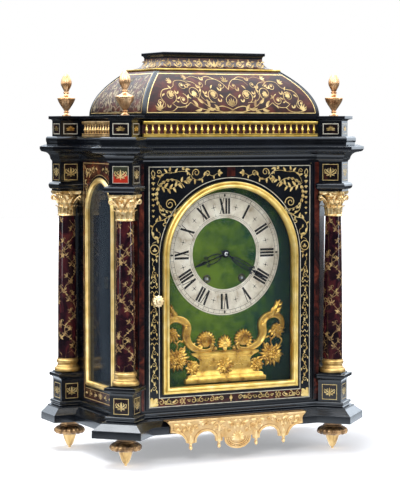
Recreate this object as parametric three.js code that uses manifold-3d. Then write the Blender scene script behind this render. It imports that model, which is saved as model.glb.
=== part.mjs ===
// A small table clock in the form of a temple: an ebonised case with a glazed front door,
// four corner columns, a moulded base on turned feet, a balustraded attic and a square dome.
// Millimetres, +Z up, front towards -Y, origin on the table under the middle of the clock.

import * as THREE from 'three';
import { mergeVertices } from 'three/addons/utils/BufferGeometryUtils.js';
import Module from 'manifold-3d';

// Heights of the storeys, from the table up
const footHeight = 45.25;
const plinthHeight = 31.25;
const pedestalHeight = 44.5;
const columnBaseHeight = 21.5;
const shaftLength = 224.25;
const capitalHeight = 38.75;
const friezeHeight = 48.5;
const corniceHeight = 24;
const atticFootHeight = 12.75;
const atticDieHeight = 23.25;
const atticCapHeight = 8.5;
const domeHeight = 69;
const domeCapHeight = 28.5;

// Plan of the case
const backY = 134.5;
const doorHalfWidth = 143;
const doorToSide = 32;
const frontColumnOut = 3;
const rearColumnOut = 16.5;
const blockHalf = 18.4;
const rearBlockHalf = 17.5;
const rearBlockDepth = 36;
const wallSetBack = 3;

// Mouldings: how far each stands out beyond the plan
const plinthOut = 20.6;
const plinthStepOut = 9.6;
const pedestalCapOut = 6.5;
const friezeMouldingOut = 6;
const corniceOut = 20.6;
const corniceSlope = 8.6;
const atticFootOut = 9;
const atticCapOut = 5.6;
const atticDieInset = 0.7;

// Gaps
const seat = 0.02;
const fitGap = 0.3;
const turnGap = 0.4;
const doorClearance = 4;

// Case, doors and glass
const wall = 12;
const floorThickness = 8;
const doorThickness = 12;
const doorBottomRail = 4;
const doorTopRail = 4.8;
const pinInset = 2.6;
const pinRadius = 1.4;
const pinLength = 14;
const bezelHalfWidth = 115.5;
const bezelWidth = 10;
const bezelHeight = 8;
const bezelOuterBand = 3;
const bezelInnerBand = 2.5;
const bezelTopMargin = 26.2;
const bezelBottomMargin = 22.5;
const glassThickness = 2.5;
const glassSetBack = 3;
const glassRebate = 2.1;
const doorSpace = 14;
const doorSpaceSide = 7;
const ledgeThickness = 8;
const knobAboveCase = 168.5;
const knobOutOfStile = 3.25;
const knobRadius = 9.5;
const knobNeckRadius = 4.5;
const knobLength = 14;
const spindleRadius = 2;
const camThickness = 2.8;
const camWidth = 6;
const camOverlap = 4.6;

// Side windows and back door
const windowHalfWidth = 54.5;
const windowCentreY = 23;
const windowFrameWidth = 8;
const windowFrameDepth = 4;
const windowBottomMargin = 25.5;
const windowTopMargin = 26;
const backDoorSideMargin = 41.4;
const backDoorThickness = 8;
const backDoorRecess = 8;
const backDoorBottomMargin = 26;
const backDoorTopMargin = 27.5;
const backKnobRadius = 6;
const backKnobInset = 9;
const backCamLength = 16;

// Dial and hands
const dialAboveArch = 3.5;
const dialPlateThickness = 3;
const dialMargin = 1.2;
const ringMargin = 10.7;
const ringWidth = 39.8;
const ringThickness = 1.5;
const handRingMargin = 10.8;
const hourHandPastRing = 3;
const handThickness = 1.2;
const handSpace = 3;
const minuteArborRadius = 1.5;
const hourPipeRadius = 3.6;
const hourPipeLength = 14;

// Movement
const windingX = 30;
const windingDrop = 38;
const windingArborRadius = 2.4;
const windingHole = 4.2;
const windingSquareReach = 2;
const barrelRadius = 21;
const barrelLength = 38;
const plateMargin = 4;
const plateTopAboveDial = 59;
const plateThickness = 2.5;
const plateGap = 47;
const footPostLength = 6;
const pillarRadius = 3.5;
const pillarInset = 8;
const minuteWheelRadius = 21;
const cockReach = 8;
const pendulumDrop = 11;
const pendulumLength = 158;
const pendulumPinRadius = 1.2;
const bobRadius = 15;
const bobThickness = 7;
const bellRadius = 32;
const bellHeight = 22;
const bellThickness = 2;
const bellAbovePlates = 22;
const bellPostRadius = 2.2;
const hammerX = 36;
const hammerAboveDial = 41;
const hammerHeadRadius = 5;
const hammerGap = 1.5;

// Ornament
const shaftRadius = 15;
const shaftTopRadius = 12.5;
const abacusHalf = 20;
const abacusThickness = 6;
const voluteRadius = 5;
const footDiscRadius = 24.6;
const footTipRadius = 2.2;
const finialHeight = 66.5;
const finialRadius = 13.9;
const balusterPitch = 10.2;
const balusterRadius = 2.7;
const galleryBottomRail = 4.5;
const galleryTopRail = 4.4;
const galleryDepth = 5.5;
const sideGalleryStart = 14;
const sideGalleryEnd = 17;
const apronHalfWidth = 120;
const apronHeight = 49.5;
const apronAboveBase = 20.5;
const apronThickness = 4;
const mountHalfWidth = 74;
const mountAboveFrame = 10.5;
const mountDepth = 7;
const domeSideInset = 25;
const domeBackInset = 11.3;
const domeInset = 44;
const domeDepthInset = 49;

// Smoothness
const mouldingSteps = 3;
const turningSteps = 2;
const domeSteps = 12;

// Levels that follow from the heights
const caseBottom = footHeight + plinthHeight;
const pedestalTop = caseBottom + pedestalHeight;
const columnBaseTop = pedestalTop + columnBaseHeight;
const shaftTop = columnBaseTop + shaftLength;
const capitalTop = shaftTop + capitalHeight;
const friezeTop = capitalTop + friezeHeight;
const corniceTop = friezeTop + corniceHeight;
const galleryFloor = corniceTop + atticFootHeight;
const galleryTop = galleryFloor + atticDieHeight;
const atticTop = galleryTop + atticCapHeight;
const domeTop = atticTop + domeHeight;
const clockTop = domeTop + domeCapHeight;
const doorBottom = caseBottom + doorBottomRail;
const doorTop = friezeTop - doorTopRail;

// Lines of the plan that follow from its sizes
const sideX = doorHalfWidth + doorToSide;
const frontColumnX = sideX + frontColumnOut;
const rearColumnX = sideX + rearColumnOut;
const blockReach = blockHalf * Math.SQRT2;
const frontColumnY = (blockHalf + Math.max(plinthOut, corniceOut)) * Math.SQRT2 - backY;
const rearColumnY = backY - rearBlockDepth / 2;
const frontY = frontColumnY + wallSetBack;
const doorBackY = frontY + doorThickness;
const ledgeY = doorBackY + doorSpace;
const cavityFrontY = ledgeY + ledgeThickness;
const backDoorY = backY - backDoorRecess;
const cavityBackY = backDoorY - backDoorThickness;

// The arch of the door, and what is centred on it
const bezelInner = bezelHalfWidth - bezelWidth;
const archZ = doorTop - bezelTopMargin - bezelHalfWidth;
const bezelBottom = doorBottom + bezelBottomMargin;
const dialZ = archZ + dialAboveArch;
const dialFaceY = ledgeY - dialPlateThickness - seat;
const ringRadius = bezelInner - ringMargin;

const finishes = {
  ebony: { color: 0x15161c, roughness: 0.3, metalness: 0 },
  marquetry: { color: 0x4a1712, roughness: 0.3, metalness: 0 },
  lacquer: { color: 0x4b1424, roughness: 0.3, metalness: 0 },
  gilt: { color: 0xcf9a45, roughness: 0.35, metalness: 1 },
  brass: { color: 0xb08d4a, roughness: 0.4, metalness: 1 },
  velvet: { color: 0x1f4a20, roughness: 0.95, metalness: 0 },
  silvered: { color: 0xc9c2b2, roughness: 0.45, metalness: 0.8 },
  blued: { color: 0x10131f, roughness: 0.3, metalness: 1 },
  steel: { color: 0x8a8c90, roughness: 0.35, metalness: 1 },
  bronze: { color: 0xa8853f, roughness: 0.35, metalness: 1 },
  glass: { color: 0x9fb0b0, roughness: 0.05, metalness: 0 },
};

const clock = new THREE.Group();

function add(name, geometry, finish, x = 0, y = 0, z = 0) {
  const mesh = new THREE.Mesh(geometry, new THREE.MeshStandardMaterial(finishes[finish]));
  mesh.name = name;
  mesh.position.set(x, y, z);
  clock.add(mesh);
}

// Joining and cutting of closed meshes

const wasm = await Module();
wasm.setup();

function solid(geometry) {
  const plain = geometry.clone();
  for (const name of Object.keys(plain.attributes)) {
    if (name !== 'position') plain.deleteAttribute(name);
  }
  const merged = mergeVertices(plain, 1e-4);
  return new wasm.Manifold(new wasm.Mesh({
    numProp: 3,
    vertProperties: new Float32Array(merged.attributes.position.array),
    triVerts: new Uint32Array(merged.index.array),
  }));
}

function shapeOf(body) {
  const mesh = body.getMesh();
  const geometry = new THREE.BufferGeometry();
  geometry.setAttribute('position', new THREE.BufferAttribute(new Float32Array(mesh.vertProperties), 3));
  geometry.setIndex(new THREE.BufferAttribute(new Uint32Array(mesh.triVerts), 1));
  return geometry;
}

function join(...pieces) {
  return shapeOf(pieces.map(solid).reduce((whole, piece) => whole.add(piece)));
}

function cut(piece, ...tools) {
  return shapeOf(tools.map(solid).reduce((rest, tool) => rest.subtract(tool), solid(piece)));
}

// Basic forms

function box(x0, x1, y0, y1, z0, z1) {
  const geometry = new THREE.BoxGeometry(x1 - x0, y1 - y0, z1 - z0);
  return geometry.translate((x0 + x1) / 2, (y0 + y1) / 2, (z0 + z1) / 2);
}

// a turned piece about the upright axis, from [radius, height] points
function turned(profile, sides) {
  const points = profile.map(([radius, z]) => new THREE.Vector2(radius, z));
  return new THREE.LatheGeometry(points, sides).rotateX(Math.PI / 2);
}

// a round rod or hole along Y
function rodY(x, z, radius, y0, y1, sides = 7) {
  const geometry = new THREE.CylinderGeometry(radius, radius, y1 - y0, sides);
  return geometry.translate(x, (y0 + y1) / 2, z);
}

function rodZ(x, y, radius, z0, z1, sides = 8) {
  const geometry = new THREE.CylinderGeometry(radius, radius, z1 - z0, sides);
  return geometry.rotateX(Math.PI / 2).translate(x, y, (z0 + z1) / 2);
}

// a flat piece cut from a front-view outline: its back at backAt, its face depth nearer the front
function flat(outline, backAt, depth, segments = 8) {
  const settings = { depth, bevelEnabled: false, curveSegments: segments };
  return new THREE.ExtrudeGeometry(outline, settings).rotateX(Math.PI / 2).translate(0, backAt, 0);
}

// a section between two levels: moves are a line, a hollow or a round to [out, share of the height]
function section(steps, bottom, top, start, ...moves) {
  const points = [start];
  for (const [kind, ...to] of moves) {
    const from = points.at(-1);
    if (kind === 'line') {
      points.push(to);
      continue;
    }
    const outward = to[0] > from[0];
    const centre = outward === (kind === 'hollow') ? [to[0], from[1]] : [from[0], to[1]];
    for (let step = 1; step <= steps; step++) {
      const angle = (step / steps) * Math.PI / 2;
      points.push([0, 1].map((axis) => centre[axis]
        + (from[axis] - centre[axis]) * Math.cos(angle)
        + (to[axis] - centre[axis]) * Math.sin(angle)));
    }
  }
  return points.map(([out, share]) => [out, bottom + (top - bottom) * share]);
}

// the plan pushed outward by one distance, with mitred corners; edges listed as flush stay put
function grown(plan, out, flush = []) {
  const edges = plan.map((point, i) => {
    const next = plan[(i + 1) % plan.length];
    const length = Math.hypot(next[0] - point[0], next[1] - point[1]);
    const normal = [(next[1] - point[1]) / length, (point[0] - next[0]) / length];
    const shift = flush.includes(i) ? 0 : out;
    return { normal, reach: normal[0] * point[0] + normal[1] * point[1] + shift };
  });
  return plan.map((_, i) => {
    const before = edges[(i + plan.length - 1) % plan.length];
    const after = edges[i];
    const turn = before.normal[0] * after.normal[1] - before.normal[1] * after.normal[0];
    return [
      (before.reach * after.normal[1] - after.reach * before.normal[1]) / turn,
      (after.reach * before.normal[0] - before.reach * after.normal[0]) / turn,
    ];
  });
}

// a closed solid from rings of as many points each, every ring above the one before
function stacked(rings) {
  const count = rings[0].length;
  const triangles = [];
  for (let level = 0; level < rings.length - 1; level++) {
    for (let i = 0; i < count; i++) {
      const next = (i + 1) % count;
      const [a, b] = [rings[level][i], rings[level][next]];
      const [c, d] = [rings[level + 1][next], rings[level + 1][i]];
      triangles.push(a, b, c, a, c, d);
    }
  }
  for (const [ring, isTop] of [[rings[0], false], [rings.at(-1), true]]) {
    const contour = ring.map(([x, y]) => new THREE.Vector2(x, y));
    for (const [a, b, c] of THREE.ShapeUtils.triangulateShape(contour, [])) {
      triangles.push(ring[a], ring[isTop ? b : c], ring[isTop ? c : b]);
    }
  }
  const geometry = new THREE.BufferGeometry();
  geometry.setAttribute('position', new THREE.Float32BufferAttribute(triangles.flat(), 3));
  return mergeVertices(geometry, 1e-4);
}

// a solid whose section runs round the whole plan with mitred corners
function moulded(plan, profile, flush = []) {
  return stacked(profile.map(([out, z]) => grown(plan, out, flush).map(([x, y]) => [x, y, z])));
}

// an upright outline with a half-round head, used by the door glass and the side windows
function arch(halfWidth, bottom, spring, Kind = THREE.Shape) {
  const outline = new Kind();
  outline.moveTo(-halfWidth, bottom);
  outline.lineTo(halfWidth, bottom);
  outline.lineTo(halfWidth, spring);
  outline.absarc(0, spring, halfWidth, 0, Math.PI, false);
  outline.lineTo(-halfWidth, bottom);
  return outline;
}

function archFrame(outer, inner, bottom, spring) {
  const outline = arch(outer, bottom, spring);
  outline.holes.push(arch(inner, bottom + outer - inner, spring, THREE.Path));
  return outline;
}

// a flower or leafy boss: a round outline with pointed lobes
function rosette(x, z, radius, lobes, dip = 0.8) {
  const points = [];
  for (let i = 0; i < lobes * 2; i++) {
    const angle = (i / lobes) * Math.PI + Math.PI / 2;
    const reach = i % 2 ? radius * dip : radius;
    points.push(new THREE.Vector2(x + reach * Math.cos(angle), z + reach * Math.sin(angle)));
  }
  return new THREE.Shape(points);
}

function polygon(points) {
  return new THREE.Shape(points.map(([x, z]) => new THREE.Vector2(x, z)));
}

// a scroll of even section that follows points in a front-view plane
function scroll(points, y, radius, steps) {
  const path = new THREE.CatmullRomCurve3(points.map(([x, z]) => new THREE.Vector3(x, y, z)));
  const outline = new THREE.Shape();
  outline.absarc(0, 0, radius, 0, Math.PI * 2);
  return new THREE.ExtrudeGeometry(outline, {
    steps, curveSegments: 3, bevelEnabled: false, extrudePath: path,
  });
}

// Plans

// the right-hand half of the outline from the front wall round to the back; the left mirrors it
function wholePlan(right) {
  return [...right, ...right.map(([x, y]) => [-x, y]).reverse()];
}

const chamferLine = frontColumnX - blockReach - frontColumnY;
const casePlan = wholePlan([
  [chamferLine + frontY, frontY],
  [sideX, sideX - chamferLine],
  [sideX, backY],
]);

const rearBlockX = rearColumnX + rearBlockHalf;
const frontBlockBack = frontColumnY + frontColumnX + blockReach - sideX;
const galleryCorner = frontColumnX - blockReach - frontY + frontColumnY;
const steppedPlan = wholePlan([
  [galleryCorner, frontY],
  [frontColumnX, frontColumnY - blockReach],
  [frontColumnX + blockReach, frontColumnY],
  [sideX, frontBlockBack],
  [sideX, backY - rearBlockDepth],
  [rearBlockX, backY - rearBlockDepth],
  [rearBlockX, backY],
]);
const backEdge = 6;

const corners = [
  { name: 'front_left', side: -1, front: true },
  { name: 'front_right', side: 1, front: true },
  { name: 'rear_left', side: -1, front: false },
  { name: 'rear_right', side: 1, front: false },
].map((corner) => ({
  ...corner,
  x: corner.side * (corner.front ? frontColumnX : rearColumnX),
  y: corner.front ? frontColumnY : rearColumnY,
  turn: corner.front ? Math.PI / 4 : 0,
}));

// the square plan of a corner block, its own corner to the front under the front columns
function blockPlan({ x, y, front }) {
  if (front) {
    return [[x, y - blockReach], [x + blockReach, y], [x, y + blockReach], [x - blockReach, y]];
  }
  const halfDepth = rearBlockDepth / 2;
  return [
    [x - rearBlockHalf, y - halfDepth], [x + rearBlockHalf, y - halfDepth],
    [x + rearBlockHalf, y + halfDepth], [x - rearBlockHalf, y + halfDepth],
  ];
}

// what stands against the case stops at its wall, at the back plane and beside the door
const caseEnvelope = moulded(grown(casePlan, fitGap), [[0, footHeight], [0, corniceTop]]);
const behindClock = box(-2 * sideX, 2 * sideX, backY, 2 * backY, 0, clockTop);
const passageHalf = doorHalfWidth + doorClearance;
const doorPassage = box(-passageHalf, passageHalf, -2 * backY, backY, 0, clockTop);

function againstCase(geometry) {
  return cut(geometry, caseEnvelope, behindClock, doorPassage);
}

// Base, pedestals, frieze blocks, cornice and attic

const plinthSection = section(
  mouldingSteps, footHeight, caseBottom,
  [plinthOut, 0],
  ['line', plinthOut, 0.376],
  ['line', plinthStepOut, 0.664],
  ['line', plinthStepOut, 0.728],
  ['hollow', plinthStepOut - 6, 0.824],
  ['round', plinthStepOut - 4.2, 0.912],
  ['round', plinthStepOut - 6.6, 1],
);
add('base_plinth', moulded(steppedPlan, plinthSection, [backEdge]), 'ebony');

for (const corner of corners) {
  const plan = blockPlan(corner);
  add(`pedestal_${corner.name}`, againstCase(moulded(plan, section(
    mouldingSteps, caseBottom + seat, pedestalTop,
    [0, 0],
    ['line', 0, 0.674],
    ['hollow', pedestalCapOut - 2.5, 0.809],
    ['line', pedestalCapOut, 0.854],
    ['line', pedestalCapOut, 0.955],
    ['line', 0.5, 0.966],
    ['line', 0.5, 1],
  ))), 'marquetry');
  add(`frieze_block_${corner.name}`, againstCase(moulded(plan, section(
    mouldingSteps, capitalTop + seat, friezeTop - seat,
    [0.5, 0],
    ['line', 0.5, 0.062],
    ['round', friezeMouldingOut, 0.165],
    ['round', 1, 0.278],
    ['line', 0, 0.299],
    ['line', 0, 0.928],
    ['line', 1.5, 1],
  ))), 'marquetry');
}

add('cornice', moulded(steppedPlan, section(
  mouldingSteps, friezeTop, corniceTop,
  [1.5, 0],
  ['line', 3, 0.083],
  ['hollow', corniceOut - 6.6, 0.521],
  ['round', corniceOut - 1, 0.667],
  ['line', corniceOut, 0.688],
  ['line', corniceOut, 0.885],
  ['line', corniceOut - corniceSlope, 1],
), [backEdge]), 'ebony');

add('attic', moulded(steppedPlan, [
  ...section(
    mouldingSteps, corniceTop + seat, galleryFloor,
    [atticFootOut, 0],
    ['line', atticFootOut, 0.275],
    ['round', atticFootOut + 1.2, 0.627],
    ['round', atticFootOut - 1.6, 1],
    ['line', -atticDieInset, 1],
  ),
  ...section(
    mouldingSteps, galleryTop, atticTop,
    [-atticDieInset, 0.059],
    ['hollow', atticCapOut - 1.6, 0.412],
    ['line', atticCapOut, 0.471],
    ['line', atticCapOut, 1],
  ),
], [backEdge]), 'ebony');

// Columns

const columnBase = turned(section(
  turningSteps, pedestalTop + seat, columnBaseTop,
  [0, 0],
  ['line', shaftRadius + 3.5, 0],
  ['round', shaftRadius + 5.5, 0.186],
  ['round', shaftRadius + 3, 0.395],
  ['line', shaftRadius + 0.6, 0.605],
  ['round', shaftRadius + 2.4, 0.791],
  ['round', shaftRadius + 0.6, 1],
  ['line', 0, 1],
), 12);

const shaftSwell = shaftTopRadius + (shaftRadius - shaftTopRadius) * 0.72;
const columnShaft = turned([
  [0, columnBaseTop + seat], [shaftRadius, columnBaseTop + seat],
  [shaftSwell, columnBaseTop + shaftLength / 2], [shaftTopRadius, shaftTop], [0, shaftTop],
], 16);

const capitalTall = capitalHeight - 2 * seat;
const bellTall = capitalTall - abacusThickness + 0.5;

// the bell of the capital: two tiers of leaves whose tips stand out in turn
function leafyBell(sides) {
  const tiers = [
    [0, 0.9, 0, 0], [0.1, 0.1, 0.4, 0], [0.47, 3.3, 1.6, 0],
    [0.51, 1.1, 0.8, 0.5], [0.86, 4.7, 1.8, 0.5], [1, 3.1, 0, 0],
  ];
  return stacked(tiers.map(([share, out, depth, phase]) => Array.from({ length: sides }, (_, i) => {
    const angle = (i / sides) * Math.PI * 2;
    const reach = shaftTopRadius + out + depth * Math.cos(8 * angle + phase * Math.PI * 2);
    return [reach * Math.cos(angle), reach * Math.sin(angle), bellTall * share];
  })));
}

// the abacus: a square slab with hollow sides and blunt corners
function abacus() {
  const blunt = 3;
  const hollow = 3.2;
  const outline = new THREE.Shape();
  outline.moveTo(abacusHalf, -abacusHalf + blunt);
  for (let side = 0; side < 4; side++) {
    const turn = (side * Math.PI) / 2;
    const place = (x, y) => [
      x * Math.cos(turn) - y * Math.sin(turn),
      x * Math.sin(turn) + y * Math.cos(turn),
    ];
    outline.quadraticCurveTo(...place(abacusHalf - 2 * hollow, 0), ...place(abacusHalf, abacusHalf - blunt));
    outline.lineTo(...place(abacusHalf - blunt, abacusHalf));
  }
  const slab = { depth: abacusThickness, bevelEnabled: false, curveSegments: 2 };
  return new THREE.ExtrudeGeometry(outline, slab).translate(0, 0, capitalTall - abacusThickness);
}

function cornerVolutes() {
  return [0, 1, 2, 3].map((side) => {
    const volute = new THREE.CylinderGeometry(voluteRadius, voluteRadius, 4.4, 6);
    volute.translate(abacusHalf - 1.5, 0, capitalTall - abacusThickness - voluteRadius + 1);
    return volute.rotateZ(Math.PI / 4 + (side * Math.PI) / 2);
  });
}

const capital = join(leafyBell(16), abacus(), ...cornerVolutes());

for (const { name, x, y, turn } of corners) {
  const place = (geometry, z) => againstCase(geometry.clone().rotateZ(turn).translate(x, y, z));
  add(`column_base_${name}`, place(columnBase, 0), 'gilt');
  add(`column_shaft_${name}`, columnShaft, 'lacquer', x, y, 0);
  add(`column_capital_${name}`, place(capital, shaftTop + seat), 'gilt');
}

// Feet and finials

const foot = turned(section(
  turningSteps, 0, footHeight - seat,
  [0, 0],
  ['line', footTipRadius, 0],
  ['line', footTipRadius + 0.4, 0.057],
  ['line', footTipRadius + 2, 0.08],
  ['round', 9.6, 0.431],
  ['line', 10, 0.508],
  ['line', footDiscRadius - 5.6, 0.517],
  ['round', footDiscRadius, 0.608],
  ['round', footDiscRadius - 6.6, 0.762],
  ['line', 13.5, 0.818],
  ['line', 13.5, 1],
  ['line', 0, 1],
), 11);

const finial = turned([
  [0, 0], [0.5, 0], [0.46, 0.024], [0.25, 0.075], [0.39, 0.158], [1, 0.4], [0.88, 0.448],
  [0.27, 0.505], [0.22, 0.556], [0.53, 0.677], [0.63, 0.764], [0.53, 0.854], [0, 1],
].map(([radius, share]) => [finialRadius * radius, finialHeight * share]), 10);

for (const { name, x, y } of corners) {
  add(`foot_${name}`, foot, 'gilt', x, Math.min(y, backY - footDiscRadius - fitGap), 0);
  add(`finial_${name}`, finial, 'gilt', x, y, atticTop + seat);
}

// Dome: swelling sides that close to a gilt-edged neck and a flared top moulding

const domeFront = frontY - atticCapOut - 0.9;
const domeBack = backY - domeBackInset;
const domeCentreY = (domeFront + domeBack) / 2;
const domeHalfWidth = sideX - domeSideInset;
const domeHalfDepth = (domeBack - domeFront) / 2;
function domeRing(halfWidth, halfDepth, z) {
  return [
    [-halfWidth, domeCentreY - halfDepth, z], [halfWidth, domeCentreY - halfDepth, z],
    [halfWidth, domeCentreY + halfDepth, z], [-halfWidth, domeCentreY + halfDepth, z],
  ];
}

const domeRings = [];
for (let step = 0; step <= domeSteps; step++) {
  const share = step / domeSteps;
  domeRings.push(domeRing(
    domeHalfWidth - domeInset * share ** 2,
    domeHalfDepth - domeDepthInset * share ** 2,
    atticTop + seat + (domeHeight - seat) * share,
  ));
}
for (const [out, z] of section(
  mouldingSteps, domeTop, clockTop,
  [1.5, 0],
  ['line', 1.5, 0.105],
  ['line', -8, 0.14],
  ['hollow', -21, 0.632],
  ['line', -21, 0.684],
  ['hollow', -17.5, 0.86],
  ['line', -17.5, 1],
)) {
  domeRings.push(domeRing(
    domeHalfWidth - domeInset + out,
    domeHalfDepth - domeDepthInset + out * 0.85,
    z,
  ));
}
add('dome', stacked(domeRings), 'marquetry');

// Galleries: rails with a row of turned balusters

function gallery(length) {
  const bottom = galleryFloor + seat;
  const middle = galleryDepth / 2;
  const balusterBottom = bottom + galleryBottomRail - fitGap;
  const balusterTop = galleryTop - galleryTopRail + fitGap;
  const tall = balusterTop - balusterBottom;
  const baluster = turned([
    [0, 0], [0.63, 0], [1, 0.34], [0.45, 0.68], [0.7, 1], [0, 1],
  ].map(([radius, share]) => [balusterRadius * radius, tall * share]), 4);
  const count = Math.floor(length / balusterPitch);
  const pieces = [
    box(-length / 2, length / 2, -middle, middle, bottom, bottom + galleryBottomRail),
    box(-length / 2, length / 2, -middle, middle, galleryTop - galleryTopRail, galleryTop),
  ];
  for (let i = 0; i < count; i++) {
    pieces.push(baluster.clone().translate((i - (count - 1) / 2) * balusterPitch, 0, balusterBottom));
  }
  return join(...pieces);
}

const galleryOut = fitGap + galleryDepth / 2 - atticDieInset;
add('gallery_front', gallery(2 * (galleryCorner - 2 * fitGap)), 'gilt', 0, frontY - galleryOut, 0);

const sideGalleryFrom = frontBlockBack + sideGalleryStart;
const sideGalleryTo = backY - rearBlockDepth - sideGalleryEnd;
const sideGalleryY = (sideGalleryFrom + sideGalleryTo) / 2;
for (const [name, side] of [['left', -1], ['right', 1]]) {
  const strip = gallery(sideGalleryTo - sideGalleryFrom).rotateZ(Math.PI / 2);
  add(`gallery_${name}`, strip, 'gilt', side * (sideX + galleryOut), sideGalleryY, 0);
}

// Case

const windowBottom = caseBottom + windowBottomMargin;
const windowSpring = friezeTop - windowTopMargin - windowHalfWidth;
const windowCutHalf = windowHalfWidth - windowFrameWidth / 2;

// a flat piece on a side wall, its inner face at innerX and its outline centred on the window
function sideFlat(outline, side, innerX, depth) {
  const geometry = new THREE.ExtrudeGeometry(outline, { depth, bevelEnabled: false, curveSegments: 6 });
  geometry.rotateX(Math.PI / 2).rotateZ((side * Math.PI) / 2);
  return geometry.translate(side * innerX, windowCentreY, 0);
}

// how far an opening reaches past the edge of what turns in it
const doorGap = pinInset * (Math.SQRT2 - 1) + fitGap;
const openingHalf = doorHalfWidth + doorGap;
const openingBottom = doorBottom - 2 * fitGap;
const openingTop = doorTop + 2 * fitGap;
const doorSpaceHalf = doorHalfWidth + doorSpaceSide;
const ledgeOpeningHalf = doorHalfWidth - doorSpaceSide;
const cavityPlan = wholePlan([
  [doorSpaceHalf, cavityFrontY],
  [sideX - wall, cavityFrontY + sideX - wall - doorSpaceHalf],
  [sideX - wall, cavityBackY],
]);
const caseFloor = caseBottom + floorThickness;
const caseCeiling = friezeTop - floorThickness;
const pinX = doorHalfWidth - pinInset;
const pinY = frontY + pinInset;
const pinHole = pinRadius + turnGap;
const backDoorHalf = sideX - backDoorSideMargin;
const backDoorBottom = caseBottom + backDoorBottomMargin;
const backDoorTop = friezeTop - backDoorTopMargin;
const backPinX = backDoorHalf - pinInset;
const backPinY = backDoorY - pinInset;
const backPinReach = pinLength / 2;

add('case_body', cut(
  moulded(casePlan, [[0, caseBottom + seat], [0, friezeTop - seat]]),
  moulded(cavityPlan, [[0, caseFloor], [0, caseCeiling]]),
  box(-openingHalf, openingHalf, -2 * backY, ledgeY, openingBottom, openingTop),
  box(-doorSpaceHalf, doorSpaceHalf, doorBackY, ledgeY, openingBottom, openingTop),
  box(-ledgeOpeningHalf, ledgeOpeningHalf, ledgeY - 1, cavityFrontY + 1, caseFloor + 2, caseCeiling - 2),
  box(
    -backDoorHalf - doorGap, backDoorHalf + doorGap, cavityBackY - 1, 2 * backY,
    backDoorBottom - 2 * fitGap, backDoorTop + 2 * fitGap,
  ),
  ...[-1, 1].map((side) => sideFlat(
    arch(windowCutHalf, windowBottom + windowFrameWidth / 2, windowSpring), side, sideX - 2 * wall, 3 * wall,
  )),
  rodZ(pinX, pinY, pinHole, caseBottom - 1, friezeTop + 1),
  rodZ(backPinX, backPinY, pinHole, backDoorBottom - backPinReach, backDoorTop + backPinReach),
), 'ebony');

// Front door with its gilt frame, glass, pins and turning knob

const glassHalf = bezelInner + glassRebate;
const doorCutHalf = glassHalf + turnGap;
const doorOutline = polygon([
  [-doorHalfWidth, doorBottom], [doorHalfWidth, doorBottom],
  [doorHalfWidth, doorTop], [-doorHalfWidth, doorTop],
]);
doorOutline.holes.push(arch(doorCutHalf, bezelBottom + bezelHalfWidth - doorCutHalf, archZ, THREE.Path));
const knobX = -(bezelHalfWidth + doorHalfWidth) / 2 + knobOutOfStile;
const knobZ = caseBottom + knobAboveCase;
const pinTopFrom = doorTop - pinLength;
const pinBottomTo = doorBottom + pinLength;
add('front_door', cut(
  flat(doorOutline, doorBackY, doorThickness),
  rodZ(pinX, pinY, pinHole, doorBottom - 1, pinBottomTo + turnGap),
  rodZ(pinX, pinY, pinHole, pinTopFrom - turnGap, doorTop + 1),
  rodY(knobX, knobZ, spindleRadius + turnGap, frontY - 1, doorBackY + 1),
), 'marquetry');
add('front_hinge_pin_bottom', rodZ(pinX, pinY, pinRadius, caseBottom + seat, pinBottomTo), 'brass');
add('front_hinge_pin_top', rodZ(pinX, pinY, pinRadius, pinTopFrom, friezeTop - seat), 'brass');

const glassFrontY = frontY + glassSetBack;
const glassBottom = bezelBottom + bezelHalfWidth - glassHalf;
add('door_bezel', join(
  flat(archFrame(bezelHalfWidth, bezelInner, bezelBottom, archZ), frontY - seat, bezelHeight / 2),
  flat(archFrame(
    bezelHalfWidth - bezelOuterBand, bezelInner + bezelInnerBand, bezelBottom + bezelOuterBand, archZ,
  ), frontY - 1, bezelHeight - 1),
  flat(archFrame(glassHalf, bezelInner, glassBottom, archZ), glassFrontY - seat, glassSetBack + 1),
), 'gilt');
add('door_glass', flat(
  arch(glassHalf, glassBottom, archZ), glassFrontY + glassThickness, glassThickness,
), 'glass');

// the knob has a lobed head outside, a spindle through the door and a cam behind it
const camFrontY = doorBackY + fitGap;
const camLength = openingHalf + camOverlap + knobX;
const knobFrontY = frontY - knobLength;
add('door_knob', join(
  flat(rosette(knobX, knobZ, knobRadius, 6, 0.78), frontY - knobLength * 0.43, knobLength * 0.36),
  rodY(knobX, knobZ, knobNeckRadius, frontY - knobLength * 0.57, frontY - fitGap),
  rodY(knobX, knobZ, knobNeckRadius + 1, knobFrontY, knobFrontY + knobLength * 0.29, 8),
  rodY(knobX, knobZ, spindleRadius, frontY - 2, camFrontY + camThickness),
  box(
    knobX - camWidth / 2, knobX + camWidth / 2, camFrontY, camFrontY + camThickness,
    knobZ - camLength, knobZ + camWidth / 2,
  ),
), 'gilt');

// Back door on its own pins, with a small turning knob

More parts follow.
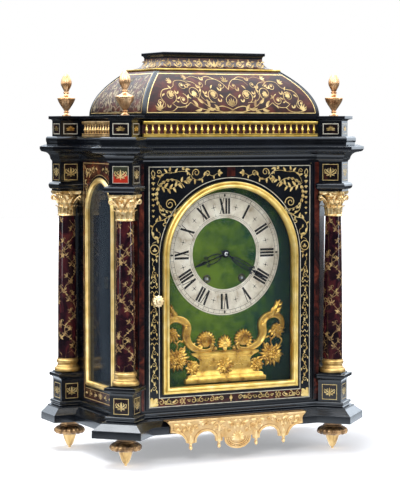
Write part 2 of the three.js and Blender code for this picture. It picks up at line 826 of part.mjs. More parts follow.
const backKnobX = -backDoorHalf + backKnobInset;
const backKnobZ = (backDoorBottom + backDoorTop) / 2;
add('back_door', cut(
  join(
    box(-backDoorHalf, backDoorHalf, cavityBackY, backDoorY, backDoorBottom, backDoorTop),
    rodZ(
      backPinX, backPinY, pinRadius,
      backDoorBottom - backPinReach + 1, backDoorTop + backPinReach - 1,
    ),
  ),
  rodY(backKnobX, backKnobZ, spindleRadius + turnGap, cavityBackY - 1, backDoorY + 1),
), 'ebony');
const backCamY = cavityBackY - fitGap;
add('back_door_knob', join(
  rodY(backKnobX, backKnobZ, backKnobRadius, backDoorY + fitGap, backDoorY + backDoorRecess - 2),
  rodY(backKnobX, backKnobZ, spindleRadius, backCamY - camThickness, backDoorY + 1),
  box(
    backKnobX - camWidth / 2, backKnobX + camWidth / 2, backCamY - camThickness, backCamY,
    backKnobZ - backCamLength, backKnobZ + camWidth / 2,
  ),
), 'brass');

// Side windows

const windowInner = windowHalfWidth - windowFrameWidth;
const windowGlassHalf = windowCutHalf - turnGap;
const windowGlassBottom = windowBottom + windowHalfWidth - windowGlassHalf;
const windowGlassX = sideX - glassSetBack;
for (const [name, side] of [['left', -1], ['right', 1]]) {
  add(`window_frame_${name}`, join(
    sideFlat(
      archFrame(windowHalfWidth, windowInner, windowBottom, windowSpring),
      side, sideX + seat, windowFrameDepth,
    ),
    sideFlat(
      archFrame(windowGlassHalf, windowInner, windowGlassBottom, windowSpring),
      side, windowGlassX, glassSetBack + 1,
    ),
  ), 'gilt');
  add(`window_glass_${name}`, sideFlat(
    arch(windowGlassHalf, windowGlassBottom, windowSpring),
    side, windowGlassX - seat - glassThickness, glassThickness,
  ), 'glass');
}

// Dial: a velvet plate on the ledge of the case, the hour ring and the gilt mount under it

const dialPlateHalf = doorHalfWidth - dialMargin;
const windingZ = dialZ - windingDrop;
add('dial_plate', cut(
  box(
    -dialPlateHalf, dialPlateHalf, dialFaceY, dialFaceY + dialPlateThickness,
    doorBottom + doorClearance, doorTop - doorClearance,
  ),
  rodY(0, dialZ, hourPipeRadius + turnGap, dialFaceY - 1, ledgeY + 1),
  rodY(-windingX, windingZ, windingHole, dialFaceY - 1, ledgeY + 1),
  rodY(windingX, windingZ, windingHole, dialFaceY - 1, ledgeY + 1),
), 'velvet');

const ringOutline = new THREE.Shape();
ringOutline.absarc(0, dialZ, ringRadius, 0, Math.PI * 2);
const ringHole = new THREE.Path();
ringHole.absarc(0, dialZ, ringRadius - ringWidth, 0, Math.PI * 2);
ringOutline.holes.push(ringHole);
add('chapter_ring', flat(ringOutline, dialFaceY - seat, ringThickness, 20), 'silvered');

// the mount: a stepped block that flares to two leafy volutes and a shell, and an arm each side;
// its drawing is in shares of its half width
const mountZ = bezelBottom + mountAboveFrame;
const mountY = dialFaceY - seat;
const upFromMount = (points, side = 1) => points.map(
  ([x, z]) => [side * x * mountHalfWidth, mountZ + z * mountHalfWidth],
);
const slab = (halfWidth, z0, z1) => polygon(upFromMount([
  [-halfWidth, z0], [halfWidth, z0], [halfWidth, z1], [-halfWidth, z1],
]));
const mountLeaf = (x, z, radius, lobes, dip) => {
  const [[centreX, centreZ]] = upFromMount([[x, z]]);
  return rosette(centreX, centreZ, radius * mountHalfWidth, lobes, dip);
};
const blockOutline = [
  [-0.69, 0.12], [0.69, 0.12], [0.69, 0.46], [0.81, 0.57], [0.825, 0.62],
  [-0.825, 0.62], [-0.81, 0.57], [-0.69, 0.46],
];
const armStem = [[1.13, 0.595], [1.195, 0.595], [1.25, 1.19], [1.18, 1.19]];
const leafStem = [[0.88, 0.35], [1.095, 0.35], [1.095, 0.43], [0.88, 0.43]];
const armPath = [
  [0.405, 0.65], [0.65, 0.65], [0.865, 0.84], [0.945, 1.135],
  [1, 1.405], [1.175, 1.54], [1.34, 1.405], [1.31, 1.19],
];
const armRadius = 0.0446 * mountHalfWidth;
const mountPieces = [
  flat(slab(1, 0, 0.07), mountY, mountDepth),
  flat(slab(0.945, 0.055, 0.135), mountY, mountDepth - 1),
  flat(polygon(upFromMount(blockOutline)), mountY, mountDepth - 2),
  flat(mountLeaf(0, 0.757, 0.176, 7, 0.86), mountY, mountDepth - 2),
  flat(mountLeaf(0, 0.31, 0.149, 5), mountY, mountDepth - 0.5),
];
for (const side of [-1, 1]) {
  mountPieces.push(
    flat(mountLeaf(side * 0.419, 0.838, 0.23, 7, 0.84), mountY, mountDepth - 1),
    flat(mountLeaf(side * 0.811, 0.297, 0.176, 5), mountY, mountDepth - 2.5),
    scroll(upFromMount(armPath, side), mountY - armRadius - 0.1, armRadius, 8),
    flat(mountLeaf(side * 1.23, 1.162, 0.135, 5), mountY, mountDepth - 2),
    flat(mountLeaf(side * 1.216, 1.608, 0.135, 5, 0.6), mountY, mountDepth - 2.5),
    flat(mountLeaf(side * 1.162, 0.54, 0.216, 7), mountY, mountDepth - 2),
    flat(polygon(upFromMount(armStem, side)), mountY, mountDepth - 3),
    flat(polygon(upFromMount(leafStem, side)), mountY, mountDepth - 4),
  );
}
add('dial_mount', join(...mountPieces), 'gilt');

// Hands at twenty past eight, each on its own arbor

// a hand from the right half of its outline, [half width, share of the length] pointing up,
// before it is turned clockwise
function clockHand(points, length, angle, y) {
  const turnedPoint = ([x, share]) => [
    x * Math.cos(angle) + length * share * Math.sin(angle),
    dialZ - x * Math.sin(angle) + length * share * Math.cos(angle),
  ];
  const left = points.map(([x, share]) => turnedPoint([-x, share]));
  const right = points.map(turnedPoint).reverse();
  return flat(polygon([...left.slice(0, -1), ...right]), y, handThickness);
}

const plateFrontY = ledgeY + footPostLength;
const plateBackY = plateFrontY + plateThickness + plateGap;
const plateRearY = plateBackY + plateThickness;
const hourAngle = (8 + 20 / 60) * (Math.PI / 6);
const minuteAngle = 20 * (Math.PI / 30);
const hourHandY = dialFaceY - handSpace;
const minuteHandY = hourHandY - handThickness - 1;
const pipeBore = minuteArborRadius + turnGap;
const hourHandLength = ringRadius - ringWidth + hourHandPastRing;
const minuteHandLength = ringRadius - handRingMargin;

const hourPipe = turned([
  [pipeBore, 0], [hourPipeRadius, 0], [hourPipeRadius, hourPipeLength], [pipeBore, hourPipeLength],
  [pipeBore, 0],
], 16);
hourPipe.rotateX(-Math.PI / 2).translate(0, hourHandY - handThickness, dialZ);
add('hour_hand', cut(
  join(
    clockHand([
      [0, -0.14], [3, -0.1], [6, 0], [3, 0.09], [1.8, 0.34], [6.5, 0.52],
      [7, 0.62], [2.2, 0.72], [2, 0.83], [0, 1],
    ], hourHandLength, hourAngle, hourHandY),
    hourPipe,
  ),
  rodY(0, dialZ, pipeBore, hourHandY - 8, ledgeY + hourPipeLength, 16),
), 'blued');
add('minute_hand', join(
  clockHand([
    [0, -0.11], [2.6, -0.08], [5, 0], [2.4, 0.06], [1.3, 0.52], [4.6, 0.62],
    [4.8, 0.68], [1.5, 0.75], [1.2, 0.86], [0, 1],
  ], minuteHandLength, minuteAngle, minuteHandY),
  rodY(0, dialZ, 2 * minuteArborRadius, minuteHandY - 3, minuteHandY - 0.5),
  rodY(0, dialZ, minuteArborRadius, minuteHandY - 2, plateRearY),
  rodY(0, dialZ, minuteWheelRadius, plateFrontY + plateGap * 0.43, plateFrontY + plateGap * 0.43 + 2, 18),
), 'blued');

// Movement: two plates on pillars, with the bell post and the pendulum cock

const plateHalf = windingX + barrelRadius + plateMargin;
const plateTopZ = dialZ + plateTopAboveDial;
const plateBottomZ = windingZ - barrelRadius - plateMargin - 3;
const arborHole = minuteArborRadius + turnGap;
const hammerZ = dialZ + hammerAboveDial;
const midY = (plateFrontY + plateRearY) / 2;
const bellZ = plateTopZ + bellAbovePlates;
const bellCrownZ = bellZ + bellHeight;
const cockY = plateRearY + cockReach;
const pivotZ = plateTopZ - pendulumDrop;

function plateHole(x, z, radius, plateY) {
  return rodY(x, z, radius, plateY - 1, plateY + plateThickness + 1);
}

const pillars = [-1, 1].flatMap((side) => [plateBottomZ + pillarInset, plateTopZ - pillarInset].map(
  (z) => rodY(side * (plateHalf - pillarInset), z, pillarRadius, ledgeY + seat, plateBackY + 1),
));
add('movement_frame', cut(
  join(
    box(-plateHalf, plateHalf, plateFrontY, plateFrontY + plateThickness, plateBottomZ, plateTopZ),
    box(-plateHalf, plateHalf, plateBackY, plateRearY, plateBottomZ, plateTopZ),
    box(-5, 5, plateFrontY + 1, plateBackY + 1, plateTopZ - 6, plateTopZ),
    rodZ(0, midY, bellPostRadius, plateTopZ - 1, bellCrownZ + 5),
    rodZ(0, midY, bellPostRadius + 2.8, plateTopZ - 1, bellCrownZ - bellThickness - seat),
    box(-6, 6, plateBackY + 1, cockY + 4, plateTopZ - 5, plateTopZ),
    rodY(0, pivotZ, pendulumPinRadius, plateBackY + 1, cockY + 3.5),
    box(-6, 6, cockY + 2.5, cockY + 4, pivotZ - 3, plateTopZ),
    ...pillars,
  ),
  plateHole(0, dialZ, hourPipeRadius + turnGap, plateFrontY),
  plateHole(0, dialZ, arborHole, plateBackY),
  ...[-windingX, windingX].flatMap((x) => [
    plateHole(x, windingZ, windingArborRadius + turnGap, plateFrontY),
    plateHole(x, windingZ, windingArborRadius + turnGap, plateBackY),
  ]),
  plateHole(hammerX, hammerZ, arborHole, plateFrontY),
  plateHole(hammerX, hammerZ, arborHole, plateBackY),
), 'brass');

const barrelFrontY = plateFrontY + plateThickness + (plateGap - barrelLength) / 2;
const squareHalf = windingArborRadius * 0.7;
for (const [name, x] of [['left', -windingX], ['right', windingX]]) {
  add(`winding_arbor_${name}`, join(
    rodY(x, windingZ, barrelRadius, barrelFrontY, barrelFrontY + barrelLength, 20),
    rodY(x, windingZ, windingArborRadius, dialFaceY + 1, plateRearY + 2),
    box(
      x - squareHalf, x + squareHalf, dialFaceY - windingSquareReach, dialFaceY + 2,
      windingZ - squareHalf, windingZ + squareHalf,
    ),
  ), 'steel');
}

const bobZ = pivotZ - pendulumLength;
const pendulumY = cockY - 3;
add('pendulum', cut(
  join(
    box(-4, 4, pendulumY - 2, pendulumY + 2, pivotZ - 6, pivotZ + 4),
    rodZ(0, pendulumY, 1.2, bobZ - bobRadius - 4, pivotZ - 4),
    turned([
      [0, -bobThickness / 2], [bobRadius * 0.67, -bobThickness * 0.37], [bobRadius, 0],
      [bobRadius * 0.67, bobThickness * 0.37], [0, bobThickness / 2],
    ], 16).rotateX(Math.PI / 2).translate(0, pendulumY, bobZ),
  ),
  rodY(0, pivotZ, pendulumPinRadius + turnGap, pendulumY - 5, pendulumY + 5),
), 'brass');

// the bell is a closed section from its crown hole over the shoulder to the lip and back inside
const bellHole = bellPostRadius + turnGap;
const bellOuter = [[0.5, 1], [0.78, 0.82], [0.875, 0.45], [1, 0]].map(
  ([radius, share]) => [bellRadius * radius, bellHeight * share],
);
const bellInner = bellOuter.map(([radius, z]) => [
  radius - bellThickness * (z === bellHeight ? 0.3 : 1), Math.max(0, z - bellThickness * (z / bellHeight)),
]);
add('bell', turned([
  [bellHole, bellHeight - bellThickness], ...bellInner, ...bellOuter.toReversed(),
  [bellHole, bellHeight], [bellHole, bellHeight - bellThickness],
], 12), 'bronze', 0, midY, bellZ);

const hammerHeadX = bellRadius + hammerGap + hammerHeadRadius;
const hammerHeadZ = bellZ + 3;
add('bell_hammer', join(
  rodY(hammerX, hammerZ, minuteArborRadius, plateFrontY + seat, plateRearY - seat),
  flat(polygon([
    [hammerX - 2, hammerZ], [hammerX + 2, hammerZ],
    [hammerHeadX + 2, hammerHeadZ], [hammerHeadX - 2, hammerHeadZ],
  ]), midY + 1.5, 3),
  new THREE.SphereGeometry(hammerHeadRadius, 8, 6).translate(hammerHeadX, midY, hammerHeadZ),
), 'steel');

// Apron: a pierced gilt lambrequin hung on the front of the base

const apronY = frontY - plinthOut - seat;
const apronTop = footHeight + apronAboveBase;
const apronPendants = [
  [[87, 0.71], [81.6, 0.75], [82, 0.88], [79.5, 0.95], [77, 0.88], [77.4, 0.75], [70.2, 0.72]],
  [
    [37.5, 0.72], [33.8, 0.75], [34.2, 0.88], [31.8, 0.95], [29.4, 0.88], [29.8, 0.75],
    [26, 0.72], [26, 0.62], [22.5, 0.62],
  ],
];
const apronPoint = ([x, share]) => [(x * apronHalfWidth) / 120, apronTop - share * apronHeight];
const mirrored = ([x, z]) => [-x, z];
const lineTo = (outline, points) => points.forEach(([x, z]) => outline.lineTo(x, z));

// an ear at each end, scrolled shoulders, a pendant and an arch each side, and the middle lobe
function apronOutline() {
  const [outer, inner] = apronPendants.map((points) => points.map(apronPoint));
  const ear = [[118, 0.06], [113.8, 0.14], [112.6, 0.22], [113.4, 0.37]].map(apronPoint);
  const [curveFrom, curveTo] = [[100, 0.38], [88, 0.58]].map(apronPoint);
  const [archX, archTop] = apronPoint([53.85, 0.67]);
  const archRadius = archX - apronPoint([37.5, 0])[0];
  const outline = new THREE.Shape();
  outline.moveTo(-apronHalfWidth, apronTop);
  lineTo(outline, ear.map(mirrored));
  outline.quadraticCurveTo(...mirrored(curveFrom), ...mirrored(curveTo));
  lineTo(outline, outer.map(mirrored));
  outline.absellipse(-archX, archTop, archRadius, apronHeight * 0.27, Math.PI, 0, true);
  lineTo(outline, inner.map(mirrored));
  const lobe = apronPoint([22.5, 0.66]);
  outline.absellipse(0, lobe[1], lobe[0], apronHeight * 0.34, Math.PI, Math.PI * 2, false);
  lineTo(outline, inner.toReversed());
  outline.absellipse(archX, archTop, archRadius, apronHeight * 0.27, Math.PI, 0, true);
  lineTo(outline, outer.toReversed());
  outline.lineTo(...curveTo);
  outline.quadraticCurveTo(...curveFrom, ...ear.at(-1));
  lineTo(outline, ear.toReversed().slice(1));
  outline.lineTo(apronHalfWidth, apronTop);
  return outline;
}

// its top edge turns back over the slope of the base
const apronFlange = cut(
  box(-apronHalfWidth, apronHalfWidth, apronY - 1, frontY - plinthStepOut, apronTop - 1.5, apronTop),
  moulded(grown(steppedPlan, fitGap), plinthSection),
);
add('apron_mount', join(flat(apronOutline(), apronY, apronThickness, 6), apronFlange), 'gilt');

export default clock;
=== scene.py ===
import bpy
import bmesh
import math
import numpy as np
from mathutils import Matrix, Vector


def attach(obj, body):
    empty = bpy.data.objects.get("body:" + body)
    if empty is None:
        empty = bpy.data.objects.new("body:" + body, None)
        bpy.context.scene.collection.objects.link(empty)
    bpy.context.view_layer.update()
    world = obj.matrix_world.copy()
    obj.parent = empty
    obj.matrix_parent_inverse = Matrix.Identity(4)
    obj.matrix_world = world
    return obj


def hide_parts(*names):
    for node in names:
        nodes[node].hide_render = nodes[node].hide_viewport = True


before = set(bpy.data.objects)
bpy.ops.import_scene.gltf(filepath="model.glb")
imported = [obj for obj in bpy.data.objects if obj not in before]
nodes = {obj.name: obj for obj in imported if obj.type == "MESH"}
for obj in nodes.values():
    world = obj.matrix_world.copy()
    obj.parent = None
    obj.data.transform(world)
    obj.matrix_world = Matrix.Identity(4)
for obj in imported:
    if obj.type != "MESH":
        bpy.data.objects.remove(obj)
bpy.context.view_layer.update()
bpy.ops.object.select_all(action="DESELECT")
scene = bpy.context.scene
scene.view_settings.view_transform = "Standard"

# Camera, floor and light: the clock stands on a white sweep in a soft studio. The camera looks at it
# from 26 degrees to its left, a little above its middle, as the lens of the photograph did.
def tune(node, settings):
    """sets the sockets of a node, each by its name or number"""
    for socket, value in settings.items():
        node.inputs[socket].default_value = value


def new_nodes(tree, *kinds):
    return [tree.nodes.new("ShaderNode" + kind) for kind in kinds]


def wire(tree, *links):
    """joins sockets, each link as a node and its output, then a node and its input"""
    for giver, output, taker, socket in links:
        tree.links.new(giver.outputs[output], taker.inputs[socket])


def set_ramp(node, stops):
    """lays the stops of a colour ramp, each a position and a shade"""
    elements = node.color_ramp.elements
    elements[0].position, elements[1].position = stops[0][0], stops[-1][0]
    for position, _ in stops[1:-1]:
        elements.new(position)
    for element, (_, shade) in zip(elements, stops):
        element.color = (*shade, 1) if isinstance(shade, tuple) else (shade, shade, shade, 1)


def mapped(low, high, from_low, to_high):
    """the settings of a node that maps one span of values to another"""
    return {"From Min": low, "From Max": high, "To Min": from_low, "To Max": to_high}


camera_data = bpy.data.cameras.new("camera")
camera_data.sensor_fit = "VERTICAL"
camera_data.sensor_height = 36
camera_data.lens = 138.64
camera_data.clip_end = 50
camera = bpy.data.objects.new("camera", camera_data)
camera.location = (-1.3134, -2.6482, 0.5073)
camera.rotation_euler = (math.radians(90 - 3.63), 0, math.radians(-26.11))
scene.collection.objects.link(camera)
scene.camera = camera

floor_white = bpy.data.materials.new("floor_white")
floor_white.use_nodes = True
floor_tree = floor_white.node_tree
floor_paint = floor_tree.nodes["Principled BSDF"]
tune(floor_paint, {"Base Color": (0.86, 0.86, 0.86, 1), "Roughness": 0.9, "Specular IOR Level": 0.1,
                   "Emission Color": (1, 1, 1, 1)})
floor_seen, floor_place, floor_reach, floor_far, floor_lift, floor_glow_falloff, floor_reflected_glow, floor_mix = new_nodes(
    floor_tree, "LightPath", "TexCoord", "VectorMath", "MapRange", "Math", "MapRange", "Emission", "MixShader")
floor_reach.operation, floor_lift.operation = "LENGTH", "MULTIPLY"
floor_far.interpolation_type = "SMOOTHSTEP"
tune(floor_far, mapped(0.30, 1.1, 0.30, 1.0))
# painted reflection: in reflections only, the floor glows at up to 2.2 near the clock and fades to 0.1 farther off, so
# the undersides of the mouldings show a bright reflection
tune(floor_glow_falloff, mapped(0.35, 0.9, 2.2, 0.10))
cool_white = (0.86, 0.93, 1.0, 1)
tune(floor_reflected_glow, {"Color": cool_white})
wire(floor_tree, (floor_place, "Object", floor_reach, 0), (floor_reach, "Value", floor_far, "Value"),
     (floor_seen, "Is Camera Ray", floor_lift, 0), (floor_far, "Result", floor_lift, 1),
     (floor_lift, 0, floor_paint, "Emission Strength"), (floor_reach, "Value", floor_glow_falloff, "Value"),
     (floor_glow_falloff, "Result", floor_reflected_glow, "Strength"), (floor_seen, "Is Glossy Ray", floor_mix, "Fac"),
     (floor_paint, "BSDF", floor_mix, 1), (floor_reflected_glow, "Emission", floor_mix, 2),
     (floor_mix, "Shader", floor_tree.nodes["Material Output"], "Surface"))
bpy.ops.mesh.primitive_plane_add(size=14, location=(0, 0, 0))
floor = bpy.context.active_object
floor.name = "floor"
floor.data.materials.append(floor_white)

world = bpy.data.worlds.new("studio")
scene.world = world
world.use_nodes = True
sky = world.node_tree
sky.nodes.clear()
sky_place, sky_parts, sky_ramp, sky_light, sky_gloss, sky_white, sky_high, sky_right, sky_back = new_nodes(
    sky, "TexCoord", "SeparateXYZ", "ValToRGB", "Background", "Background", "Background", "MapRange", "MapRange",
    "MapRange")
sky_turn, sky_sum, sky_both, sky_path, sky_mix, sky_out = new_nodes(
    sky, "Math", "Math", "MixShader", "LightPath", "MixShader", "OutputWorld")
set_ramp(sky_ramp, [(0.0, (0.07, 0.07, 0.08)), (1.0, (0.75, 0.78, 0.88))])
tune(sky_gloss, {"Color": cool_white})
tune(sky_white, {"Color": (1, 1, 1, 1)})
tune(sky_high, mapped(0.10, 0.62, 0.06, 4.2))
tune(sky_right, mapped(0.25, 0.75, 0.0, 1.6))
tune(sky_back, mapped(-0.1, 0.3, 0.0, 1.0))
sky_turn.operation, sky_sum.operation = "MULTIPLY", "ADD"
wire(sky, (sky_place, "Generated", sky_parts, 0), (sky_parts, "Z", sky_ramp, "Fac"),
     (sky_ramp, "Color", sky_light, "Color"), (sky_parts, "Z", sky_high, "Value"),
     (sky_parts, "X", sky_right, "Value"), (sky_parts, "Y", sky_back, "Value"), (sky_right, "Result", sky_turn, 0),
     (sky_back, "Result", sky_turn, 1), (sky_high, "Result", sky_sum, 0), (sky_turn, 0, sky_sum, 1),
     (sky_sum, 0, sky_gloss, "Strength"), (sky_path, "Is Glossy Ray", sky_both, "Fac"), (sky_light, 0, sky_both, 1),
     (sky_gloss, 0, sky_both, 2), (sky_path, "Is Camera Ray", sky_mix, "Fac"), (sky_both, 0, sky_mix, 1),
     (sky_white, 0, sky_mix, 2), (sky_mix, 0, sky_out, "Surface"))

for lamp_name, place, aim, size, watts in (
    ("overhead_softbox", (-0.35, 0.25, 2.0), (-0.1, 0, 0.3), (1.1, 1.0), 34),
    ("key_softbox", (-1.5, -2.3, 1.9), (0, 0, 0.3), (0.9, 0.9), 30),
    ("right_softbox", (2.0, -1.6, 0.9), (0, 0, 0.3), (0.35, 1.5), 16),
    ("left_softbox", (-2.5, 0.1, 0.8), (0, 0, 0.3), (0.5, 1.4), 10),
):
    lamp_data = bpy.data.lights.new(lamp_name, "AREA")
    lamp_data.shape = "RECTANGLE"
    lamp_data.size, lamp_data.size_y = size
    lamp_data.energy = watts
    lamp = bpy.data.objects.new(lamp_name, lamp_data)
    lamp.location = place
    lamp.rotation_euler = (Vector(aim) - Vector(place)).to_track_quat("-Z", "Y").to_euler()
    scene.collection.objects.link(lamp)

# The moulded base: ebonised pear wood, planed in lengths and mitred round the stepped plan. It is
# polished black with a thin film of shellac, a little worn and dulled in its hollows.
MM = 0.001
front_wall, back_plane, side_wall = -76.3457, 134.5, 175.0
front_column = (178.0, -79.3457)
rear_column = (191.5, 116.5)
block_half, block_reach = 18.4, 26.0215
rear_block_half, rear_block_depth = 17.5, 36.0


def both_sides(right):
    """the whole of a plan from its right half"""
    return right + [(-x, y) for x, y in reversed(right)]


stepped_plan = both_sides([
    (148.9785, front_wall), (178, -105.3672), (204.0215, front_column[1]), (side_wall, -50.3242),
    (side_wall, 98.5), (209, 98.5), (209, back_plane),
])
stepped_back_edge = 6


def grown_plan(plan, out, flush=()):
    """the plan pushed outward with mitred corners"""
    edges = []
    for i, (x, y) in enumerate(plan):
        next_x, next_y = plan[(i + 1) % len(plan)]
        length = math.hypot(next_x - x, next_y - y)
        normal = ((next_y - y) / length, (x - next_x) / length)
        edges.append((normal, normal[0] * x + normal[1] * y + (0 if i in flush else out)))
    corners = []
    for i in range(len(plan)):
        (before, before_reach), (after, after_reach) = edges[i - 1], edges[i]
        turn = before[0] * after[1] - before[1] * after[0]
        corners.append((
            (before_reach * after[1] - after_reach * before[1]) / turn,
            (after_reach * before[0] - before_reach * after[0]) / turn,
        ))
    return corners


def eased(line):
    """a section with its sharp outer edges rubbed to a small round, as sanding and wear leave them"""
    radius = 0.8
    out = [line[0]]
    for before, here, after in zip(line, line[1:], line[2:]):
        back, corner, ahead = (np.array(point, float) for point in (before, here, after))
        one, two = back - corner, ahead - corner
        long_one, long_two = np.linalg.norm(one), np.linalg.norm(two)
        turn = one[1] * two[0] - one[0] * two[1]
        if min(long_one, long_two) < 0.7 or turn < 0.35 * long_one * long_two:
            out.append(here)
            continue
        one, two = one / long_one, two / long_two
        near, far = min(radius, 0.4 * long_one), min(radius, 0.4 * long_two)
        p, q = corner + one * near, corner + two * far
        middle = [p * (1 - t) ** 2 + 2 * corner * t * (1 - t) + q * t * t for t in (0.25, 0.5, 0.75)]
        out += [tuple(point) for point in (p + one * 0.2, p, *middle, q, q + two * 0.2)]
    return out + [line[-1]]


def moulding_section(bottom, top, start, *moves, steps=9):
    """a section between two levels: each move is a line, a hollow or a round to (out, share)"""
    points = [start]
    for kind, *to in moves:
        before = points[-1]
        if kind == "line":
            points.append(tuple(to))
            continue
        outward = to[0] > before[0]
        centre = (to[0], before[1]) if outward == (kind == "hollow") else (before[0], to[1])
        for step in range(1, steps + 1):
            angle = step / steps * math.pi / 2
            points.append(tuple(
                centre[k] + (before[k] - centre[k]) * math.cos(angle) + (to[k] - centre[k]) * math.sin(angle)
                for k in (0, 1)
            ))
    return eased([(out, bottom + (top - bottom) * share) for out, share in points])


def loose_piece(name, points, faces, outward=True):
    """a closed mesh from points in millimetres, its faces turned outward"""
    mesh = bpy.data.meshes.new(name)
    mesh.from_pydata([(x * MM, y * MM, z * MM) for x, y, z in points], [], faces)
    if outward:
        shell = bmesh.new()
        shell.from_mesh(mesh)
        bmesh.ops.recalc_face_normals(shell, faces=shell.faces)
        shell.to_mesh(mesh)
        shell.free()
    piece = bpy.data.objects.new(name, mesh)
    scene.collection.objects.link(piece)
    return piece


def finish_piece(piece, material, body, smooth=35, replaces=()):
    """gives a piece its material and shading, and the body and nodes that it stands for"""
    piece.data.materials.clear()
    piece.data.materials.append(material)
    if smooth:
        bpy.ops.object.select_all(action="DESELECT")
        piece.select_set(True)
        bpy.context.view_layer.objects.active = piece
        bpy.ops.object.shade_smooth_by_angle(angle=math.radians(smooth))
        piece.select_set(False)
    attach(piece, body)
    if replaces:
        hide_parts(*replaces)
    return piece


def shown_piece(name, points, faces, material, body, slot, smooth=35, replaces=()):
    return finish_piece(loose_piece(name, points, faces), material, body, smooth, replaces)


def stacked_rings(rings):
    """points and faces of a closed solid from rings of as many points each"""
    count = len(rings[0])
    points = [point for ring in rings for point in ring]
    faces = []
    for level in range(len(rings) - 1):
        for i in range(count):
            a, b = level * count + i, level * count + (i + 1) % count
            faces.append((a, b, b + count, a + count))
    faces += [tuple(reversed(range(count))), tuple(range(len(points) - count, len(points)))]
    return points, faces


def mitred(plan, section, flush=()):
    """a moulding of one section run round a plan and mitred at its corners"""
    return stacked_rings([[(x, y, z) for x, y in grown_plan(plan, out, flush)] for out, z in section])


def looped_rings(rings):
    """points and faces of a closed form whose last ring meets its first"""
    count, levels = len(rings[0]), len(rings)
    points = [tuple(point) for ring in rings for point in ring]
    faces = []
    for level in range(levels):
        here, there = level * count, (level + 1) % levels * count
        faces += [(here + i, here + (i + 1) % count, there + (i + 1) % count, there + i) for i in range(count)]
    return points, faces


def new_finish(name, colour, roughness, metallic=0.0, coat=0.0, **sockets):
    """a finish; further sockets are named with underscores for spaces"""
    material = bpy.data.materials.new(name)
    material.use_nodes = True
    paint = material.node_tree.nodes["Principled BSDF"]
    tune(paint, {"Base Color": (*colour, 1), "Roughness": roughness, "Metallic": metallic, "Coat Weight": coat,
                 "Coat Roughness": 0.08})
    tune(paint, {socket.replace("_", " "): value for socket, value in sockets.items()})
    return material


def noise_in(material, scale, detail, stretch, distort=0.0):
    """a noise in the wood, shell or metal, and the tree that it is in"""
    tree = material.node_tree
    place, turn, noise = new_nodes(tree, "TexCoord", "Mapping", "TexNoise")
    tune(turn, {"Scale": stretch})
    tune(noise, {"Scale": scale, "Detail": detail, "Distortion": distort})
    wire(tree, (place, "Object", turn, "Vector"), (turn, "Vector", noise, "Vector"))
    return noise, tree


def mottle(material, target, scale, stops, detail=4.0, stretch=(1, 1, 1), distort=0.0):
    """a noise that drives one of the finish's sockets through a ramp"""
    noise, tree = noise_in(material, scale, detail, stretch, distort)
    ramp, = new_nodes(tree, "ValToRGB")
    set_ramp(ramp, stops)
    wire(tree, (noise, "Fac", ramp, "Fac"), (ramp, "Color", tree.nodes["Principled BSDF"], target))


def grain_bump(material, scale, strength, distance=0.0002, detail=6.0, stretch=(1, 1, 1)):
    """a fine unevenness of the surface"""
    noise, tree = noise_in(material, scale, detail, stretch)
    bump, = new_nodes(tree, "Bump")
    tune(bump, {"Strength": strength, "Distance": distance})
    wire(tree, (noise, "Fac", bump, "Height"), (bump, "Normal", tree.nodes["Principled BSDF"], "Normal"))


ebonised = new_finish("ebonised_pear", (0.005, 0.006, 0.010), 0.22, coat=0.42, Specular_IOR_Level=0.3, Coat_IOR=1.55,
                      Coat_Roughness=0.14, Coat_Tint=(0.80, 0.89, 1.0, 1))
mottle(ebonised, "Base Color", 30, [
    (0.35, (0.002, 0.0025, 0.004)), (0.6, (0.004, 0.005, 0.008)), (0.8, (0.009, 0.010, 0.015)),
], detail=7)
mottle(ebonised, "Roughness", 55, [(0.3, 0.16), (0.75, 0.28)], detail=6)
grain_bump(ebonised, 240, 0.12, 0.0001, stretch=(1, 1, 0.25))

base_levels = (45.25, 76.5)
base_section = moulding_section(
    *base_levels, (20.6, 0.0), ("line", 20.6, 0.355), ("round", 19.8, 0.376), ("line", 9.6, 0.664),
    ("line", 9.6, 0.728), ("hollow", 3.6, 0.824), ("round", 5.4, 0.912), ("round", 3.0, 1.0),
)
shown_piece("base_moulding", *mitred(stepped_plan, base_section, (stepped_back_edge,)),
            ebonised, "case", "ebony", replaces=("base_plinth",))

# Four turned feet: a gilt-bronze toupie cone on a dark tip, under a lobed bun that is patinated
# brown. Each is cast in one, chased, and screwed up into the corner of the base.
def turned_rings(profile, segments, lobes=0, lobe_depth=None):
    """rings of a turned piece from (radius, height), with lobes cut where lobe_depth is given"""
    rings = []
    for k, (radius, height) in enumerate(profile):
        dip = lobe_depth[k] if lobes and lobe_depth else 0
        ring = []
        for i in range(segments):
            angle = i / segments * 2 * math.pi
            reach = max(radius - dip * (1 - abs(math.cos(angle * lobes / 2))), 0.02)
            ring.append((reach * math.cos(angle), reach * math.sin(angle), height))
        rings.append(ring)
    return rings


def smooth_line(points, steps):
    """points of a smooth line through the given ones"""
    line = np.array(points, float)
    padded = np.vstack([2 * line[0] - line[1], line, 2 * line[-1] - line[-2]])
    path = [line[0]]
    for k in range(1, len(padded) - 2):
        a, b, c, d = padded[k - 1:k + 3]
        for t in np.arange(1, steps + 1) / steps:
            path.append(0.5 * (2 * b + (c - a) * t + (2 * a - 5 * b + 4 * c - d) * t * t
                               + (3 * b - a - 3 * c + d) * t ** 3))
    return path


def round_profile(points, steps=6):
    """a turner's profile: smooth between the given points, sharp where a point is given twice"""
    runs, run = [], [points[0]]
    for point in points[1:]:
        if point == run[-1]:
            runs.append(run)
            run = [point]
        else:
            run.append(point)
    runs.append(run)
    out = []
    for run in runs:
        out += [tuple(map(float, point)) for point in (run if len(run) == 2 else smooth_line(run, steps))]
    return [point for k, point in enumerate(out) if k == 0 or math.dist(point, out[k - 1]) > 1e-4]


